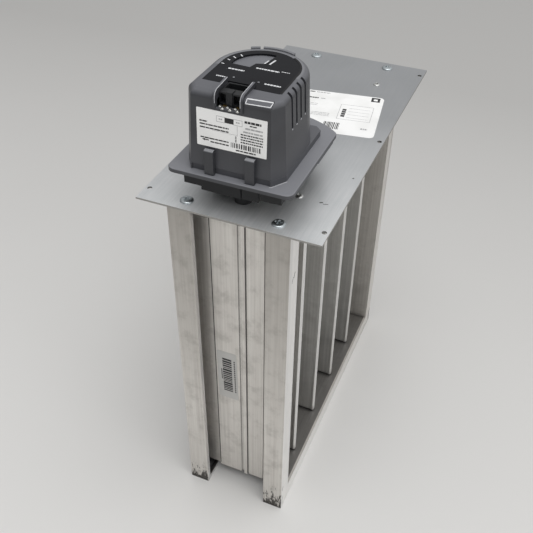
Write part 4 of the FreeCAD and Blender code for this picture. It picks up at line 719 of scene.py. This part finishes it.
# Panel gap shade: a thin black strip of painted shade, for the dark gap between the panel's right
# edge and the shoulder of the cover. It runs straight back and then follows the D's round end.
dial_y, shade_strip_radius = -0.0935, 0.0300
turn = np.linspace(-0.12, 0.95, 18)
bend = np.stack([shade_strip_radius * np.cos(turn), dial_y + shade_strip_radius * np.sin(turn)], axis=1)
strip = np.concatenate([[(0.0301, -0.1264)], [(0.0301, -0.1100)], bend])
line = np.column_stack([strip, np.full(len(strip), panel_top)])
gap_shade_black = moulded("black_painted_gap_shade", "#08080a", "#111214", 0.7)
piece("panel_gap_shade_strip", *ribbon(line, 0.0015, (0, 0, 1), 0.00015), gap_shade_black, "frame")

# Cover label: a white vinyl sticker on the drafted near face, thermal printed. Generic strokes,
# boxes, stripes and an arrow stand in for its print.
label_width, label_height, label_foot = 0.0537, 0.0287, 0.4059
label = np.array([-0.0258, cover_near + (label_foot - flange_top) * math.tan(draft), label_foot])
right, up = np.array([1.0, 0, 0]), np.array([0, math.sin(draft), math.cos(draft)])
outward = np.cross(right, up)
piece("cover_label", *prism(rounded(0, 0, label_width, label_height, 0.0006), label, right, up, label_skin),
      vinyl, "frame")
dark = [(21.7, 21.0, 28.6, 24.9)] + strokes(2.4, 24.9, (17.4, 14.9), 1.0, 31)
dark += strokes(2.2, 8.3, (19.7,), 1.1, 32) + strokes(2.8, 24.8, (7.1,), 1.0, 33)
dark += strokes(10.6, 24.8, (4.6,), 1.0, 39) + stripes(26.5, 3.4, 49.3, 7.2, 34)
dark += strokes(36.8, 49.3, (25.6,), 1.7, 35, (1.4, 3.0)) + strokes(40.8, 45.9, (22.9,), 0.9, 36)
dark += strokes(34.0, 50.8, (15.4, 13.4, 11.4, 9.4), 1.0, 37, (0.7, 2.2))
dark += strokes(30.3, 45.5, (2.3,), 1.0, 38)
dark += [(29.8, low, 30.8, low + 0.8) for low in (8.0, 9.2, 10.4, 11.6)]
pale = [(15.4, 20.7, 21.7, 21.0), (15.4, 24.9, 21.7, 25.2), (15.4, 21.0, 15.7, 24.9),
        (28.6, 20.7, 35.2, 21.0), (28.6, 24.9, 35.2, 25.2), (34.9, 21.0, 35.2, 24.9),
        (31.2, 12.6, 31.5, 20.4), (12.0, 13.3, 31.0, 13.5)]
pale += strokes(17.2, 20.2, (23.5,), 1.0, 40, (0.8, 1.2)) + strokes(30.4, 33.4, (23.5,), 1.0, 41, (0.8, 1.2))
pale += strokes(37.4, 50.4, (20.6,), 1.2, 42) + strokes(35.9, 50.4, (17.8,), 1.2, 43)
face = label + outward * label_skin
arrow = np.array([(4.0, 5.0), (6.2, 4.0), (6.2, 4.6), (9.3, 4.6), (9.3, 5.4), (6.2, 5.4), (6.2, 6.0)]) * 0.001
print_on("cover_label_dark_print", bars(dark) + [arrow], face, right, up, black_ink)
print_on("cover_label_grey_print", bars(pale), face, right, up, grey_ink)

# Floor: a wide sheet of plain pale paper on which the damper stands. It is painted a little
# darker away from the camera, as shade where the light falls off.
paper, tree, shader = blank("pale_floor_paper", Roughness=0.9)
place = add(tree, "ShaderNodeTexCoord").outputs["Object"]
fibre = add(tree, "ShaderNodeTexNoise", {"Vector": place, "Scale": 3.0, "Detail": 3.0}).outputs[0]
depth = add(tree, "ShaderNodeSeparateXYZ", {"Vector": place}).outputs["Y"]
# Painted shade: the paper darkens away from the camera.
falloff_shade = add(tree, "ShaderNodeMapRange", {"Value": depth, "From Min": -0.3, "From Max": 0.9}).outputs[0]
mixed = add(tree, "ShaderNodeMath", {0: fibre, 1: 0.06}, operation="MULTIPLY").outputs[0]
share = add(tree, "ShaderNodeMath", {0: falloff_shade, 1: mixed}, operation="ADD", use_clamp=True).outputs[0]
tone = add(tree, "ShaderNodeMix", {0: share, 6: linear("#dddcda"), 7: linear("#b9b8b6")}, data_type="RGBA")
tree.links.new(tone.outputs[2], shader.inputs["Base Color"])
reach = 6.0
sheet = bpy.data.meshes.new("floor")
sheet.from_pydata([(-reach, -reach, 0), (reach, -reach, 0), (reach, reach, 0), (-reach, reach, 0)], [],
                  [(0, 1, 2, 3)])
sheet.materials.append(paper)
floor = bpy.data.objects.new("floor", sheet)
bpy.context.scene.collection.objects.link(floor)

# Studio: a pale room that is brightest above and to the right, and two soft lamps. Glow is 0.42
# plus the direction's share along (0.28, 0.1, 0.7), and never under 0.15.
world = bpy.data.worlds.new("studio")
bpy.context.scene.world = world
world.use_nodes = True
sky = world.node_tree
direction = add(sky, "ShaderNodeTexCoord").outputs["Generated"]
above = add(sky, "ShaderNodeVectorMath", {0: direction, 1: (0.28, 0.1, 0.7)},
            operation="DOT_PRODUCT").outputs["Value"]
raised = add(sky, "ShaderNodeMath", {0: above, 1: 0.42}, operation="ADD").outputs[0]
glow = add(sky, "ShaderNodeMath", {0: raised, 1: 0.15}, operation="MAXIMUM").outputs[0]
sky.nodes["Background"].inputs["Color"].default_value = linear("#e4e4e4")
sky.links.new(glow, sky.nodes["Background"].inputs["Strength"])


def softbox(name, place, target, size, power):
    """A square area lamp at a place, facing a target."""
    lamp = bpy.data.lights.new(name, "AREA")
    lamp.size = size
    lamp.energy = power
    made = bpy.data.objects.new(name, lamp)
    made.location = place
    made.rotation_euler = (Vector(target) - Vector(place)).to_track_quat("-Z", "Y").to_euler()
    bpy.context.scene.collection.objects.link(made)


softbox("key_above", (0.5, -0.6, 2.4), (0, 0, 0.2), 1.8, 22)
softbox("fill_right", (2.2, -0.5, 1.2), (0, 0, 0.2), 1.4, 5)

# Camera: the photograph's own place and aim, found from the plate's and the frame's corners.
# Lens = focal length in pixels / picture width in pixels x sensor width in millimetres.
focal_pixels, picture_pixels = 735.97, 533
view = bpy.data.cameras.new("camera")
view.sensor_width = 36
view.lens = focal_pixels / picture_pixels * view.sensor_width
camera = bpy.data.objects.new("camera", view)
camera.location = (0.19785, -0.55067, 0.67504)
aim = Vector((-0.29589189, 0.70978975, -0.63925465))
roll = math.radians(0.6456)
camera.rotation_mode = "QUATERNION"
camera.rotation_quaternion = aim.to_track_quat("-Z", "Y") @ Quaternion((0, 0, 1), roll)
bpy.context.scene.collection.objects.link(camera)
bpy.context.scene.camera = camera
bpy.context.scene.view_settings.view_transform = "Standard"
